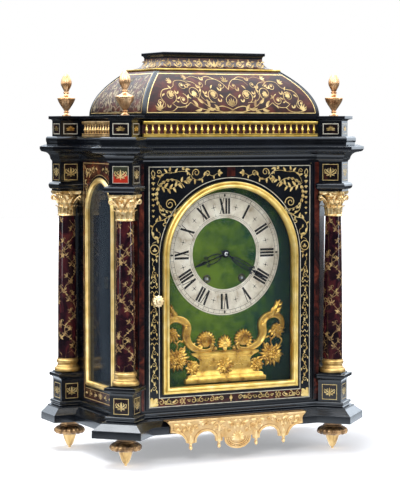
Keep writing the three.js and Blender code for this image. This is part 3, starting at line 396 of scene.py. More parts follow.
def lathe(profile, segments):
    """a turned piece: a disc that is drawn along its axis in edit mode, ring by ring, and sized to the profile"""
    bpy.ops.object.select_all(action="DESELECT")
    bpy.ops.mesh.primitive_circle_add(vertices=segments, radius=profile[0][0] * MM, fill_type="NGON")
    work = bpy.context.active_object
    bpy.ops.object.mode_set(mode="EDIT")
    bpy.ops.mesh.select_all(action="SELECT")
    bpy.ops.transform.translate(value=(0, 0, profile[0][1] * MM))
    for (radius, height), (next_radius, next_height) in zip(profile, profile[1:]):
        bpy.ops.mesh.extrude_region_move(TRANSFORM_OT_translate={"value": (0, 0, (next_height - height) * MM)})
        share = next_radius / radius
        bpy.ops.transform.resize(value=(share, share, 1), center_override=(0, 0, 0))
    bpy.ops.object.mode_set(mode="OBJECT")
    part = [tuple(point.co / MM) for point in work.data.vertices], [tuple(face.vertices) for face in work.data.polygons]
    bpy.data.objects.remove(work)
    return part


def set_down(part, x, y):
    """a copy of a part at its place"""
    return [(px + x, py + y, pz) for px, py, pz in part[0]], part[1]


def moved(rings, x, y, z=0.0):
    """rings of a part at its place"""
    return [[(px + x, py + y, pz + z) for px, py, pz in ring] for ring in rings]


gilt_bronze = new_finish("gilt_bronze", (0.87, 0.60, 0.24), 0.3, metallic=1.0)
mottle(gilt_bronze, "Base Color", 70, [
    (0.28, (0.58, 0.34, 0.10)), (0.45, (0.84, 0.57, 0.21)), (0.75, (0.96, 0.74, 0.36)),
], detail=7)
mottle(gilt_bronze, "Roughness", 120, [(0.3, 0.24), (0.75, 0.44)])
grain_bump(gilt_bronze, 380, 0.35, 0.0002)

brown_bronze = new_finish("patinated_bronze", (0.05, 0.028, 0.015), 0.35, metallic=0.6)
mottle(brown_bronze, "Base Color", 90, [
    (0.32, (0.05, 0.026, 0.013)), (0.48, (0.22, 0.12, 0.05)), (0.70, (0.60, 0.36, 0.16)),
], detail=6)
grain_bump(brown_bronze, 300, 0.4, 0.0002)
pale_gilt = new_finish("pale_gilt_bronze", (0.80, 0.62, 0.36), 0.36, metallic=1.0)
mottle(pale_gilt, "Base Color", 80, [
    (0.25, (0.42, 0.26, 0.11)), (0.42, (0.74, 0.55, 0.30)), (0.72, (0.93, 0.77, 0.50)),
], detail=7)
mottle(pale_gilt, "Roughness", 120, [(0.3, 0.28), (0.75, 0.5)])
grain_bump(pale_gilt, 330, 0.5, 0.00025)

foot_gilt = new_finish("foot_gilt", (0.66, 0.46, 0.20), 0.38, metallic=0.75)
mottle(foot_gilt, "Base Color", 130, [(0.3, (0.24, 0.13, 0.045)), (0.46, (0.54, 0.34, 0.13)),
                                      (0.75, (0.74, 0.53, 0.26))],
       detail=6, stretch=(1, 1, 0.16))
mottle(foot_gilt, "Roughness", 120, [(0.3, 0.3), (0.75, 0.5)])

foot_cone = round_profile([
    (0.02, 0), (1.6, 0.15), (2.1, 1.3), (1.8, 2.6), (1.8, 2.6), (3.9, 3.9), (5.9, 7.4), (7.8, 12.0),
    (9.4, 17.0), (10.4, 20.5), (10.6, 23.3), (10.6, 23.3), (0.02, 23.35),
])
foot_bun = round_profile([
    (0.02, 23.1), (12, 23.1), (12, 23.1), (18.6, 23.2), (22.6, 24.2), (24.6, 27.4), (23.4, 31.6),
    (19.6, 34.4), (15.4, 36.0), (15.4, 36.0), (15.0, 37.4), (13.4, 38.2), (13.4, 38.2), (13.4, 45.2),
    (13.4, 45.2), (0.02, 45.2),
])
bun_lobes = [2.4 if 22.8 < z < 36.2 and r > 13 else 0 for r, z in foot_bun]
foot_places = {
    "front_left": (-178, front_column[1]), "front_right": (178, front_column[1]),
    "rear_left": (-191.5, 109.6), "rear_right": (191.5, 109.6),
}
turned_cone = lathe(foot_cone, 40)
for corner, (x, y) in foot_places.items():
    shown_piece(f"foot_cone_{corner}", *set_down(turned_cone, x, y),
                foot_gilt, "case", "gilt", smooth=50, replaces=(f"foot_{corner}",))
    shown_piece(f"foot_bun_{corner}",
                *stacked_rings(moved(turned_rings(foot_bun, 96, 16, bun_lobes), x, y)),
                brown_bronze, "case", "gilt", smooth=60)

# Pedestals under the four columns: blocks of ebonised wood with a moulded cap. Each shown face has
# a tortoiseshell panel in a brass line, with a small lily of sawn brass let into it.
corner_places = {
    "front_left": (-1, -178.0, front_column[1], True), "front_right": (1, 178.0, front_column[1], True),
    "rear_left": (-1, -191.5, rear_column[1], False), "rear_right": (1, 191.5, rear_column[1], False),
}
case_plan = both_sides([(154.9785, front_wall), (side_wall, -56.3242), (side_wall, back_plane)])


def block_plan(_, x, y, is_front):
    """the plan of a corner block: turned by 45 degrees in front, square behind"""
    if is_front:
        return [(x, y - block_reach), (x + block_reach, y), (x, y + block_reach), (x - block_reach, y)]
    half = rear_block_depth / 2
    return [(x - rear_block_half, y - half), (x + rear_block_half, y - half),
            (x + rear_block_half, y + half), (x - rear_block_half, y + half)]


def prism(plan, z0, z1):
    """a plan drawn up between two heights"""
    return stacked_rings([[(x, y, z0) for x, y in plan], [(x, y, z1) for x, y in plan]])


def against_case(piece):
    """stops a piece at the wall of the case, at the back plane and beside the door"""
    tools = [loose_piece("trim", *shape, outward=False) for shape in (
        prism(grown_plan(case_plan, 0.3), 45, 478.1),
        prism([(-147, -300), (147, -300), (147, 134), (-147, 134)], 40, 478.1),
        prism([(-400, back_plane), (400, back_plane), (400, 300), (-400, 300)], -10, 640),
    )]
    bpy.ops.object.select_all(action="DESELECT")
    bpy.context.view_layer.objects.active = piece
    for tool in tools:
        trim = piece.modifiers.new("trim", "BOOLEAN")
        trim.operation, trim.solver, trim.object = "DIFFERENCE", "EXACT", tool
        bpy.ops.object.modifier_apply(modifier=trim.name)
        bpy.data.objects.remove(tool)


def pressed_against_case(points, side, x, y, is_front):
    """a round piece whose back is filed flat where it meets the case or the back plane"""
    out = []
    for px, py, pz in points:
        if is_front:
            over = ((px - x) * -side + (py - y)) / math.sqrt(2) - (block_half + 0.28)
            if over > 0:
                px += over * side / math.sqrt(2)
                py -= over / math.sqrt(2)
        else:
            px = side * max(side * px, side_wall + 0.32)
        out.append((px, min(py, back_plane - 0.02), pz))
    return out


def flat_place(origin, across):
    """a flat upright face: its (u, v) in millimetres to points and outward normals"""
    origin, across, up = (np.array(v, float) for v in (origin, across, (0, 0, 1)))
    normal = np.cross(across, up)

    def place(uv):
        return origin + uv[:, :1] * across + uv[:, 1:] * up, np.tile(normal, (len(uv), 1))
    return place


def strip(path, widths):
    """a strip of metal along a path, as an outline and the faces that fill it"""
    path = np.asarray(path, float)
    ahead = np.gradient(path, axis=0)
    ahead /= np.maximum(np.linalg.norm(ahead, axis=1, keepdims=True), 1e-9)
    side = np.stack([-ahead[:, 1], ahead[:, 0]], 1)
    half = np.broadcast_to(np.asarray(widths, float), (len(path),))[:, None] / 2
    count = len(path)
    outline = np.vstack([path - side * half, (path + side * half)[::-1]])
    return outline, [(i, i + 1, 2 * count - 2 - i, 2 * count - 1 - i) for i in range(count - 1)]


def plate(outline):
    """a flat piece that fills an outline"""
    return np.asarray(outline, float), [tuple(range(len(outline)))]


def panel(left, right, bottom, top):
    return plate([(left, bottom), (right, bottom), (right, top), (left, top)])


def disc(centre, radius, sides=10):
    angles = np.arange(sides) / sides * 2 * math.pi
    return plate([(centre[0] + radius * math.cos(a), centre[1] + radius * math.sin(a)) for a in angles])


def scroll_path(centre, radius, end_radius, start, turn, count=20):
    """a spiral from one radius to another, its angles in degrees"""
    share = np.linspace(0, 1, count)
    reach = radius * (end_radius / radius) ** share
    angle = math.radians(start) + math.radians(turn) * share
    return np.stack([centre[0] + reach * np.cos(angle), centre[1] + reach * np.sin(angle)], 1)


def bent_path(points, steps=7):
    return np.array(smooth_line(points, steps))


def leaf(base, heading, length, width, curl=0.0, count=7):
    """a leaf of sawn metal: pointed at its tip, fullest a third of the way along, and curled"""
    share = np.linspace(0, 1, count)
    angle = math.radians(heading) + math.radians(curl) * share
    step = length / (count - 1)
    path = np.array(base, float) + np.vstack([[0, 0], np.cumsum(
        np.stack([np.cos(angle[:-1]), np.sin(angle[:-1])], 1) * step, axis=0)])
    widths = width * (np.sin(math.pi * share ** 0.7) ** 0.8 * 0.94 + 0.06)
    widths[0] = width * 0.22
    widths[-1] = width * 0.05
    return strip(path, widths)


def leaves(rows, shape, curl, count=7):
    """many leaves of one shape, each from (u, v, heading, length)"""
    return [leaf((u, v), heading, long, long * shape, curl, count) for u, v, heading, long in rows]


def tapered(path, wide, fine=0.35):
    """a stem that thins towards its end"""
    return strip(path, np.linspace(wide, wide * fine, len(path)))


def turned_over(pieces):
    """the same pieces on the other side of the middle line"""
    out = []
    for outline, faces in pieces:
        flipped = outline.copy()
        flipped[:, 0] *= -1
        out.append((flipped, [tuple(reversed(face)) for face in faces]))
    return out


def shifted(pieces, u, v):
    return [(outline + np.array([u, v]), faces) for outline, faces in pieces]


def signed_area(line):
    return 0.5 * np.sum(line[:, 0] * np.roll(line[:, 1], -1) - line[:, 1] * np.roll(line[:, 0], -1))


def inlay(name, place, pieces, material, body, rise=0.12, sink=0.25):
    """sawn metal or shell let into a face: every outline becomes a thin closed plate"""
    points, faces = [], []
    for outline, fills in pieces:
        outline = np.asarray(outline, float)
        base, normal = place(outline)
        start, count = len(points), len(outline)
        points += [*map(tuple, base + normal * rise), *map(tuple, base - normal * sink)]
        for fill in fills:
            face = fill if signed_area(outline[list(fill)]) > 0 else tuple(reversed(fill))
            faces += [tuple(start + i for i in face), tuple(start + count + i for i in reversed(face))]
        way = 1 if signed_area(outline) > 0 else -1
        for i in range(count):
            i, j = (i, (i + 1) % count)[::way]
            faces.append((start + i, start + count + i, start + count + j, start + j))
    return finish_piece(loose_piece(name, points, faces, outward=False), material, body, smooth=0)


tortoiseshell = new_finish("red_tortoiseshell", (0.05, 0.008, 0.006), 0.22, coat=0.12, Specular_IOR_Level=0.28)
mottle(tortoiseshell, "Base Color", 55, [
    (0.36, (0.012, 0.004, 0.005)), (0.48, (0.030, 0.007, 0.006)), (0.58, (0.075, 0.014, 0.009)),
    (0.7, (0.15, 0.036, 0.018)),
], detail=6, distort=1.1)
grain_bump(tortoiseshell, 160, 0.12, 0.0001)
dark_shell = new_finish("dark_shell", (0.012, 0.006, 0.006), 0.2, coat=0.3, Specular_IOR_Level=0.35)
mottle(dark_shell, "Base Color", 90, [
    (0.4, (0.004, 0.003, 0.004)), (0.55, (0.014, 0.005, 0.005)), (0.72, (0.05, 0.011, 0.008)),
], detail=5, distort=0.8)
sawn_brass = new_finish("sawn_brass", (0.74, 0.55, 0.22), 0.36, metallic=0.45)
mottle(sawn_brass, "Base Color", 110, [
    (0.3, (0.46, 0.30, 0.10)), (0.5, (0.74, 0.55, 0.22)), (0.75, (0.90, 0.74, 0.40)),
], detail=5)
mottle(sawn_brass, "Roughness", 140, [(0.3, 0.3), (0.7, 0.5)])
grain_bump(sawn_brass, 700, 0.5, 0.00012, stretch=(1, 1, 3))
pale_string = new_finish("pale_metal_string", (0.66, 0.62, 0.50), 0.38, metallic=0.35)
mottle(pale_string, "Base Color", 130, [(0.3, (0.42, 0.38, 0.28)), (0.55, (0.68, 0.63, 0.50)),
                                        (0.8, (0.85, 0.82, 0.72))])
grain_bump(pale_string, 600, 0.3, 0.0001)


def frame_lines(half_width, bottom, top, width=0.9):
    """a string let in round a panel, its corners mitred"""
    outer, inner = ([(-half_width - w, bottom - w), (half_width + w, bottom - w),
                     (half_width + w, top + w), (-half_width - w, top + w)] for w in (width / 2, -width / 2))
    return [plate([outer[i], outer[j], inner[j], inner[i]]) for i, j in ((0, 1), (1, 2), (2, 3), (3, 0))]


def lily(size):
    """a small formal lily: a bud between petals, two curled stems with leaves, a band and a root"""
    right = [
        tapered(bent_path([(0.05, -0.30), (0.36, -0.26), (0.74, -0.04), (1.0, 0.28), (0.90, 0.56),
                           (0.68, 0.44)]) * size,
                0.15 * size, 0.45),
        tapered(bent_path([(0.04, -0.16), (0.26, 0.04), (0.46, 0.34), (0.44, 0.62), (0.30, 0.56)]) * size,
                0.14 * size, 0.45),
        leaf((0.34 * size, 0.02 * size), 52, 0.46 * size, 0.18 * size, -40),
        leaf((0.66 * size, -0.08 * size), -12, 0.42 * size, 0.16 * size, 60),
        leaf((0.16 * size, -0.30 * size), -38, 0.56 * size, 0.17 * size, 80),
        disc((0.68 * size, 0.40 * size), 0.10 * size, 8),
        disc((0.62 * size, -0.48 * size), 0.06 * size, 6),
    ]
    middle = [
        leaf((0, -0.16 * size), 90, 1.04 * size, 0.34 * size),
        leaf((0, -0.3 * size), -90, 0.46 * size, 0.22 * size),
        panel(-0.24 * size, 0.24 * size, -0.3 * size, -0.19 * size),
    ]
    return middle + right + turned_over(right)


def block_faces(side, x, y, is_front, out=0.0):
    """the faces of a corner block that show: name, place on the face and half its width"""
    if is_front:
        half, faces = block_half + out, []
        for tag, (nx, ny) in (("outer", (side, -1)), ("inner", (-side, -1)), ("back", (side, 1))):
            normal = np.array([nx, ny, 0]) / math.sqrt(2)
            across = np.cross((0, 0, 1), normal)
            faces.append((tag, flat_place(np.array([x, y, 0]) + normal * half, across), half))
        return faces
    front_across, side_across = (1, 0, 0), (0, side, 0)
    return [
        ("outer", flat_place((x + side * (rear_block_half + out), y, 0), side_across), rear_block_depth / 2),
        ("inner", flat_place((x + side * 0.3, y - rear_block_depth / 2 - out, 0), front_across), rear_block_half - 0.6),
    ]


def block_panels(kind, corner, bottom, top, inset, grounds, line, motif_size=8.6):
    """the panel, string and lily on each shown face of a corner block"""
    side, x, y, is_front = corner_places[corner]
    middle = (bottom + top) / 2
    for tag, place, half in block_faces(side, x, y, is_front):
        ground = grounds.get(tag, dark_shell)
        reach = half - inset
        inlay(f"{kind}_panel_{corner}_{tag}", place,
              [panel(-reach, reach, bottom + 0.2, top - 0.2)],
              ground, "case", rise=0.06)
        inlay(f"{kind}_lines_{corner}_{tag}", place, frame_lines(reach, bottom, top, 0.85), line, "case")
        inlay(f"{kind}_lily_{corner}_{tag}", place, shifted(lily(min(motif_size, (reach - 1.2) / 1.02)), 0,
                                                            middle - 0.6),
              sawn_brass, "case")


pedestal_section = moulding_section(
    76.52, 121, (0.0, 0.0), ("line", 0.0, 0.674), ("hollow", 4.0, 0.809), ("line", 4.2, 0.82),
    ("round", 6.5, 0.862), ("line", 6.5, 0.945), ("round", 5.8, 0.960), ("line", 0.5, 0.970), ("line", 0.5, 1.0),
)
for corner, spec in corner_places.items():
    pedestal = loose_piece(f"pedestal_block_{corner}", *mitred(block_plan(*spec), pedestal_section))
    against_case(pedestal)
    finish_piece(pedestal, ebonised, "case", replaces=(f"pedestal_{corner}",))
    block_panels("pedestal", corner, 80.0, 103.0, 6.8, {}, sawn_brass)

# Columns: turned shafts veneered with dark red shell, slightly swelled, with a climbing vine of
# sawn brass; each stands in a turned gilt base and carries a cast Corinthian capital.
column_levels = (121.0, 142.5, 366.75, 405.5)
base_profile = round_profile([
    (0.02, 121.03), (18.4, 121.03), (18.4, 121.03), (20.2, 122.0), (20.5, 124.4), (19.9, 126.6),
    (18.2, 128.4), (18.2, 128.4), (17.4, 128.6), (17.4, 129.6), (17.4, 129.6), (15.9, 131.3),
    (15.7, 133.6), (16.4, 134.6), (16.4, 134.6), (17.2, 136.2), (17.3, 138.6), (16.2, 140.4),
    (16.2, 140.4), (15.8, 140.6), (15.7, 142.48), (15.7, 142.48), (0.02, 142.48),
])
red_shell = new_finish("burgundy_shell", (0.04, 0.006, 0.010), 0.13, coat=0.2, Specular_IOR_Level=0.35)
mottle(red_shell, "Base Color", 60, [
    (0.36, (0.007, 0.0025, 0.005)), (0.5, (0.022, 0.005, 0.009)), (0.6, (0.055, 0.010, 0.013)),
    (0.72, (0.11, 0.024, 0.016)),
], detail=7, distort=0.8, stretch=(1, 1, 0.7))
grain_bump(red_shell, 90, 0.1, 0.0001)
turned_gilt = new_finish("turned_gilt_bronze", (0.56, 0.39, 0.15), 0.42, metallic=0.8)
mottle(turned_gilt, "Base Color", 75, [(0.28, (0.24, 0.13, 0.04)), (0.46, (0.42, 0.26, 0.08)),
                                       (0.75, (0.58, 0.40, 0.16))], detail=6)
mottle(turned_gilt, "Roughness", 120, [(0.3, 0.34), (0.75, 0.5)])
capital_gilt = new_finish("capital_gilt_bronze", (0.58, 0.39, 0.17), 0.38, metallic=0.85)
mottle(capital_gilt, "Base Color", 230, [(0.32, (0.34, 0.18, 0.06)), (0.46, (0.80, 0.56, 0.25)),
                                         (0.68, (0.96, 0.78, 0.46))], detail=5)
mottle(capital_gilt, "Roughness", 150, [(0.3, 0.28), (0.75, 0.48)])
grain_bump(capital_gilt, 420, 0.5, 0.0003)
vine_brass = new_finish("dull_vine_brass", (0.50, 0.35, 0.13), 0.4, metallic=0.5)
mottle(vine_brass, "Base Color", 130, [(0.34, (0.11, 0.06, 0.03)), (0.5, (0.32, 0.20, 0.08)),
                                       (0.72, (0.68, 0.48, 0.20))], detail=5)
grain_bump(vine_brass, 600, 0.4, 0.0001)


def shaft_radius(z):
    """the swelling of the shaft: full at its foot, drawn in towards the capital"""
    share = (np.asarray(z, float) - column_levels[1]) / (column_levels[2] - column_levels[1])
    return 15 - 2.5 * share ** 1.9


def shaft_place(x, y):
    """round a shaft: u is millimetres round it from the front, v the height"""
    def place(uv):
        radius = shaft_radius(uv[:, 1])
        angle = uv[:, 0] / 14 - math.pi / 2
        normal = np.stack([np.cos(angle), np.sin(angle), np.zeros(len(uv))], 1)
        centre = np.stack([np.full(len(uv), x), np.full(len(uv), y), uv[:, 1]], 1)
        return centre + normal * radius[:, None], normal
    return place


def climbing_vine(seed_turn):
    """a vine that climbs the shaft in easy curves, with leaves in threes, tendrils and small flowers"""
    pieces = []
    bottom, top, pitch = 150.0, 360.0, 62.0
    for start, phase in ((0.0, 0.0), (29.3, 2.1), (58.6, 4.2)):
        def sway(level):
            return 9.5 * math.sin((level - bottom) / pitch * 2 * math.pi + seed_turn + phase) + start
        levels = np.linspace(bottom, top - 6 * (phase > 2), 80)
        pieces.append(tapered(np.array([(sway(level), level) for level in levels]), 1.0, 0.6))
        for k in range(22):
            level = bottom + 7 + k * 9.2 + phase
            lean, way = sway(level), 1 if k % 2 else -1
            pieces.append(tapered(bent_path([
                (lean, level), (lean + way * 3.6, level + 1.6), (lean + way * 7.0, level + 5.0),
                (lean + way * 6.6, level + 9.2), (lean + way * 3.8, level + 9.4), (lean + way * 3.6, level + 7.2),
            ], 4), 0.8, 0.6))
            if k % 4 == 3:
                for turn in range(5):
                    pieces.append(leaf((lean + way * 7.4, level + 5.4), 90 + turn * 72, 4.4, 2.6, 0, 5))
                continue
            heading = 40 if way > 0 else 140
            for swing, long, wide in ((0, 6.6, 2.7), (-62, 5.4, 2.3), (50, 5.6, 2.3)):
                pieces.append(leaf((lean + way * 6.6, level + 4.4), heading + way * swing, long, wide,
                                   -way * 24, 6))
            pieces += [leaf((lean, level + 1), 90 + way * 28, 5.2, 2.1, way * 30, 5),
                       leaf((lean, level - 3), 90 + way * 48, 4.4, 1.8, way * 36, 5)]
    for k in range(4):
        angles = np.linspace(0, math.pi, 25)
        reach = 9.6 * (1 - 0.14 * np.abs(np.sin(angles * 3.5 + math.pi / 4)))
        pieces.append(plate([(k * 22.0 + r * math.cos(a), 142.8 + 1.25 * r * math.sin(a))
                             for a, r in zip(angles, reach)]))
    return pieces


def thin_casting(front, back, tiers, across):
    """a thin closed form between a front and a back, each a net of tiers of points"""
    count, faces = tiers * across, []
    for i in range(tiers - 1):
        for j in range(across - 1):
            a = i * across + j
            quad = (a, a + 1, a + across + 1, a + across)
            faces += [quad, tuple(count + k for k in reversed(quad))]
    rim = ([(i, 0) for i in range(tiers)] + [(tiers - 1, j) for j in range(1, across)]
           + [(i, across - 1) for i in range(tiers - 2, -1, -1)] + [(0, j) for j in range(across - 2, 0, -1)])
    loop = [i * across + j for i, j in rim]
    for a, b in zip(loop, loop[1:] + loop[:1]):
        faces.append((a, b, b + count, a + count))
    return front + back, faces


def acanthus(height, width, out, lift, base):
    """one cast leaf standing on the bell of the capital: ribbed, lobed and curled over at its tip"""
    tiers, across, front, back = 11, 9, [], []
    for i in range(tiers):
        s = i / (tiers - 1)
        over = max(0.0, (s - 0.70) / 0.30)
        rise = height * (s if s < 0.8 else 0.8 + 0.2 * math.sin((s - 0.8) / 0.2 * math.pi * 0.62) * 0.72)
        stand = base + out * s ** 2.2 + lift * math.sin(over * math.pi * 0.62)
        fall = -height * 0.10 * over ** 2
        lobe = 1 + 0.17 * math.cos(s * math.pi * 7)
        half = width * (0.62 + 0.38 * math.sin(math.pi * min(1, s * 1.15))) * lobe * (1 - over ** 3 * 0.72) / 2
        for j in range(across):
            t = j / (across - 1) * 2 - 1
            rib = 0.85 * (1 - abs(t)) ** 1.5 + 0.32 * math.cos(t * math.pi * 3) * (1 - over)
            cup = -1.1 * t * t * (1 - 0.5 * s)
            front.append((t * half, stand + rib + cup, rise + fall))
            back.append((t * half * 0.96, stand + rib * 0.4 + cup - 1.1, rise + fall - 0.5 * over))
    return thin_casting(front, back, tiers, across)


def round_bar(path, radii, sides=8):
    """a bar of round section along a path in space, thinning as its radii say, closed at both ends"""
    path = np.asarray(path, float)
    radii = np.broadcast_to(np.asarray(radii, float), (len(path),))
    ahead = np.gradient(path, axis=0)
    ahead /= np.maximum(np.linalg.norm(ahead, axis=1, keepdims=True), 1e-9)
    side = np.cross(ahead[0], (0.31, 0.17, 0.93))
    rings = []
    for point, way, radius in zip(path, ahead, radii):
        side = side - way * np.dot(side, way)
        side /= np.linalg.norm(side)
        up = np.cross(way, side)
        rings.append([tuple(point + radius * (math.cos(a) * side + math.sin(a) * up))
                      for a in np.arange(sides) / sides * 2 * math.pi])
    return stacked_rings(rings)


def gathered(parts):
    """many closed shapes in one mesh"""
    points, faces = [], []
    for part_points, part_faces in parts:
        start = len(points)
        points.extend(part_points)
        faces.extend(tuple(start + i for i in face) for face in part_faces)
    return points, faces


def spun(part, angle, z=0.0):
    """a shape modelled facing +Y, turned to face an angle"""
    points, faces = part
    c, s = math.cos(angle - math.pi / 2), math.sin(angle - math.pi / 2)
    return [(px * c - py * s, px * s + py * c, pz + z) for px, py, pz in points], faces


def capital_parts():
    """all of one capital about its own axis, its height from 0"""
    tall = 38.7
    bell = round_profile([
        (0.02, 0.02), (13.6, 0.02), (14.4, 0.7), (14.4, 2.0), (13.5, 2.8), (13.5, 2.8), (12.7, 3.2), (12.7, 12),
        (13.2, 20), (14.6, 27.5), (17.3, 32.0), (17.6, 33.0), (17.6, 33.0), (0.02, 33.1),
    ], 4)
    parts = [stacked_rings(turned_rings(bell, 32))]
    low_leaf = acanthus(15.5, 11.0, 1.8, 3.2, 12.7)
    high_leaf = acanthus(25.5, 11.4, 3.4, 3.6, 12.6)
    for k in range(8):
        parts += [spun(low_leaf, (k + 0.5) * math.pi / 4, z=2.6), spun(high_leaf, k * math.pi / 4, z=3.4)]
    for k in range(4):
        corner = math.pi / 4 + k * math.pi / 2
        for way in (-1, 1):
            path = []
            for step in range(15):
                s = step / 14
                path.append((way * (5.2 * (1 - s) + 1.6 * s), 14.0 + 9.2 * s ** 1.3, 19.5 + 11.8 * s ** 0.8))
            for step in range(1, 17):
                a = math.pi * 0.62 - step / 16 * math.pi * 2.5
                r = 4.3 * (1 - step / 16 * 0.66)
                path.append((way * 1.6, 22.4 + r * math.cos(a) * 0.9, 27.7 + r * math.sin(a)))
            parts.append(spun(round_bar(path, np.linspace(1.25, 0.8, len(path)), 6), corner))
        centre = k * math.pi / 2
        for way in (-1, 1):
            path = [(way * (0.8 + 2.2 * math.sin(s * math.pi * 0.5) + 2.2 * math.cos(s * math.pi * 2.2) * s * 0.5),
                     14.4 + 2.0 * s, 20 + 10.5 * s) for s in np.linspace(0, 1, 12)]
            parts.append(spun(round_bar(path, 0.85, 6), centre))
        petals = []
        for i in range(20):
            a = i / 20 * 2 * math.pi
            r = 3.0 + 0.75 * math.cos(a * 5)
            petals.append((r * math.cos(a), r * math.sin(a)))
        rings = [[(px, 14.0, 35.3 + pz) for px, pz in petals], [(px, 17.0, 35.3 + pz) for px, pz in petals],
                 [(px * 0.55, 17.9, 35.3 + pz * 0.55) for px, pz in petals],
                 [(px * 0.18, 17.5, 35.3 + pz * 0.18) for px, pz in petals]]
        parts.append(spun(stacked_rings(rings), centre))
    rings = []
    for grow, level in ((-3.4, 33.0), (-2.6, 33.4), (-1.3, 34.0), (-1.0, 35.4), (-0.2, 35.8), (0.0, 36.4), (0.0, tall)):
        ring = []
        for side in range(4):
            turn = side * math.pi / 2
            for t in np.linspace(-1, 1, 9):
                reach = 20 + grow - 3.4 * (1 - t * t)
                px, py = reach, t * (17 + grow)
                ring.append((px * math.cos(turn) - py * math.sin(turn), px * math.sin(turn) + py * math.cos(turn),
                             level))
        rings.append(ring)
    parts.append(stacked_rings(rings))
    return gathered(parts)


capital_shape = capital_parts()
turned_base = lathe(base_profile, 56)
turned_shaft = lathe([(float(shaft_radius(z)), z) for z in np.linspace(142.52, 366.7, 30)], 48)
for corner, (side, x, y, is_front) in corner_places.items():
    turn = math.pi / 4 if is_front else 0.0
    points, faces = set_down(turned_base, x, y)
    shown_piece(f"turned_base_{corner}", pressed_against_case(points, side, x, y, is_front), faces,
                turned_gilt, "case", "gilt", smooth=50, replaces=(f"column_base_{corner}",))
    shown_piece(f"veneered_shaft_{corner}", *set_down(turned_shaft, x, y), red_shell, "case", "lacquer",
                smooth=50, replaces=(f"column_shaft_{corner}",))
    inlay(f"shaft_vine_{corner}", shaft_place(x, y), climbing_vine(0.8 if side < 0 else 2.2), vine_brass,
          "case", rise=0.1)
    points, faces = capital_shape
    c, s = math.cos(turn), math.sin(turn)
    points = [(px * c - py * s + x, px * s + py * c + y, pz + column_levels[2] + 0.02) for px, py, pz in points]
    shown_piece(f"cast_capital_{corner}", pressed_against_case(points, side, x, y, is_front), faces,
                capital_gilt, "case", "gilt", smooth=50, replaces=(f"column_capital_{corner}",))

# Frieze blocks over the capitals, of ebonised wood with a small neck moulding, panelled as the
# pedestals are; the panel on the left front block has lost its backing and shows red paint.
frieze_section = moulding_section(
    405.52, 453.98, (0.5, 0.0), ("line", 0.5, 0.062), ("round", 5.7, 0.150), ("line", 6.0, 0.165),
    ("line", 6.0, 0.19), ("round", 1.0, 0.278), ("line", 0.0, 0.299), ("line", 0.0, 0.928), ("hollow", 1.5, 1.0),
)
red_ground = new_finish("red_painted_ground", (0.5, 0.06, 0.015), 0.25, coat=0.3)
ground_place, ground_parts, ground_noise, ground_mix, ground_ramp = new_nodes(
    red_ground.node_tree, "TexCoord", "SeparateXYZ", "TexNoise", "Math", "ValToRGB")
tune(ground_noise, {"Scale": 170})
ground_mix.operation = "MULTIPLY_ADD"
tune(ground_mix, {1: 0.030})
set_ramp(ground_ramp, [(0.4455, (0.46, 0.022, 0.006)), (0.4505, (0.03, 0.035, 0.018))])
wire(red_ground.node_tree, (ground_place, "Object", ground_noise, "Vector"), (ground_place, "Object", ground_parts, 0),
     (ground_noise, "Fac", ground_mix, 0), (ground_parts, "Z", ground_mix, 2), (ground_mix, 0, ground_ramp, "Fac"),
     (ground_ramp, "Color", red_ground.node_tree.nodes["Principled BSDF"], "Base Color"))
for corner, spec in corner_places.items():
    block = loose_piece(f"frieze_cube_{corner}", *mitred(block_plan(*spec), frieze_section))
    against_case(block)
    finish_piece(block, ebonised, "case", replaces=(f"frieze_block_{corner}",))
    block_panels("frieze", corner, 423.0, 447.5, 6.2,
                 {"outer": red_ground} if corner == "front_left" else {},
                 pale_string if corner == "front_left" else sawn_brass, 9.4)

# The main cornice over them and the foot and cap of the attic: ebonised like the base, run in
# lengths with a scratch-stock and mitred at every break of the plan.
cornice_section = moulding_section(
    454, 478, (1.5, 0.0), ("line", 3.0, 0.083), ("hollow", 14.0, 0.521), ("line", 14.4, 0.54),
    ("round", 19.6, 0.667), ("line", 20.6, 0.688), ("line", 20.6, 0.87), ("round", 19.9, 0.89), ("line", 12.0, 1.0),
)
shown_piece("main_cornice", *mitred(stepped_plan, cornice_section, (stepped_back_edge,)),
            ebonised, "case", "ebony", replaces=("cornice",))
attic_section = moulding_section(
    478.02, 490.75, (9.0, 0.0), ("line", 9.0, 0.275), ("round", 10.2, 0.627), ("round", 7.4, 1.0), ("line", -0.7, 1.0),
) + moulding_section(
    514.0, 522.5, (-0.7, 0.059), ("hollow", 4.0, 0.412), ("line", 5.0, 0.44), ("round", 5.6, 0.52),
    ("line", 5.6, 0.96), ("round", 5.3, 1.0),
)
shown_piece("attic_storey", *mitred(stepped_plan, attic_section, (stepped_back_edge,)),
            ebonised, "case", "ebony", replaces=("attic",))


def small_flower(size):
    """a sprig for the attic dies: a bud between four leaves"""
    right = [leaf((0.1 * size, -0.1 * size), 28, 1.05 * size, 0.42 * size, -40),
             leaf((0.1 * size, -0.15 * size), -18, 0.95 * size, 0.32 * size, 30),
             leaf((0.06 * size, 0.0), 62, 0.7 * size, 0.3 * size, -20)]
    return [leaf((0, -0.25 * size), 90, 0.95 * size, 0.4 * size),
            disc((0, -0.16 * size), 0.2 * size, 8)] + right + turned_over(right)


die_bottom, die_top = 494.8, 510.4
for corner, (side, x, y, is_front) in corner_places.items():
    for tag, place, half in block_faces(side, x, y, is_front, -0.7):
        reach = half - 5.6
        inlay(f"attic_panel_{corner}_{tag}", place,
              [panel(-reach, reach, die_bottom, die_top)],
              dark_shell, "case", rise=0.06)
        inlay(f"attic_lines_{corner}_{tag}", place, frame_lines(reach, die_bottom, die_top, 1.3), pale_string, "case")
        inlay(f"attic_flower_{corner}_{tag}", place, shifted(small_flower(6.6), 0, 502.4), gilt_bronze,
              "case", rise=0.4)

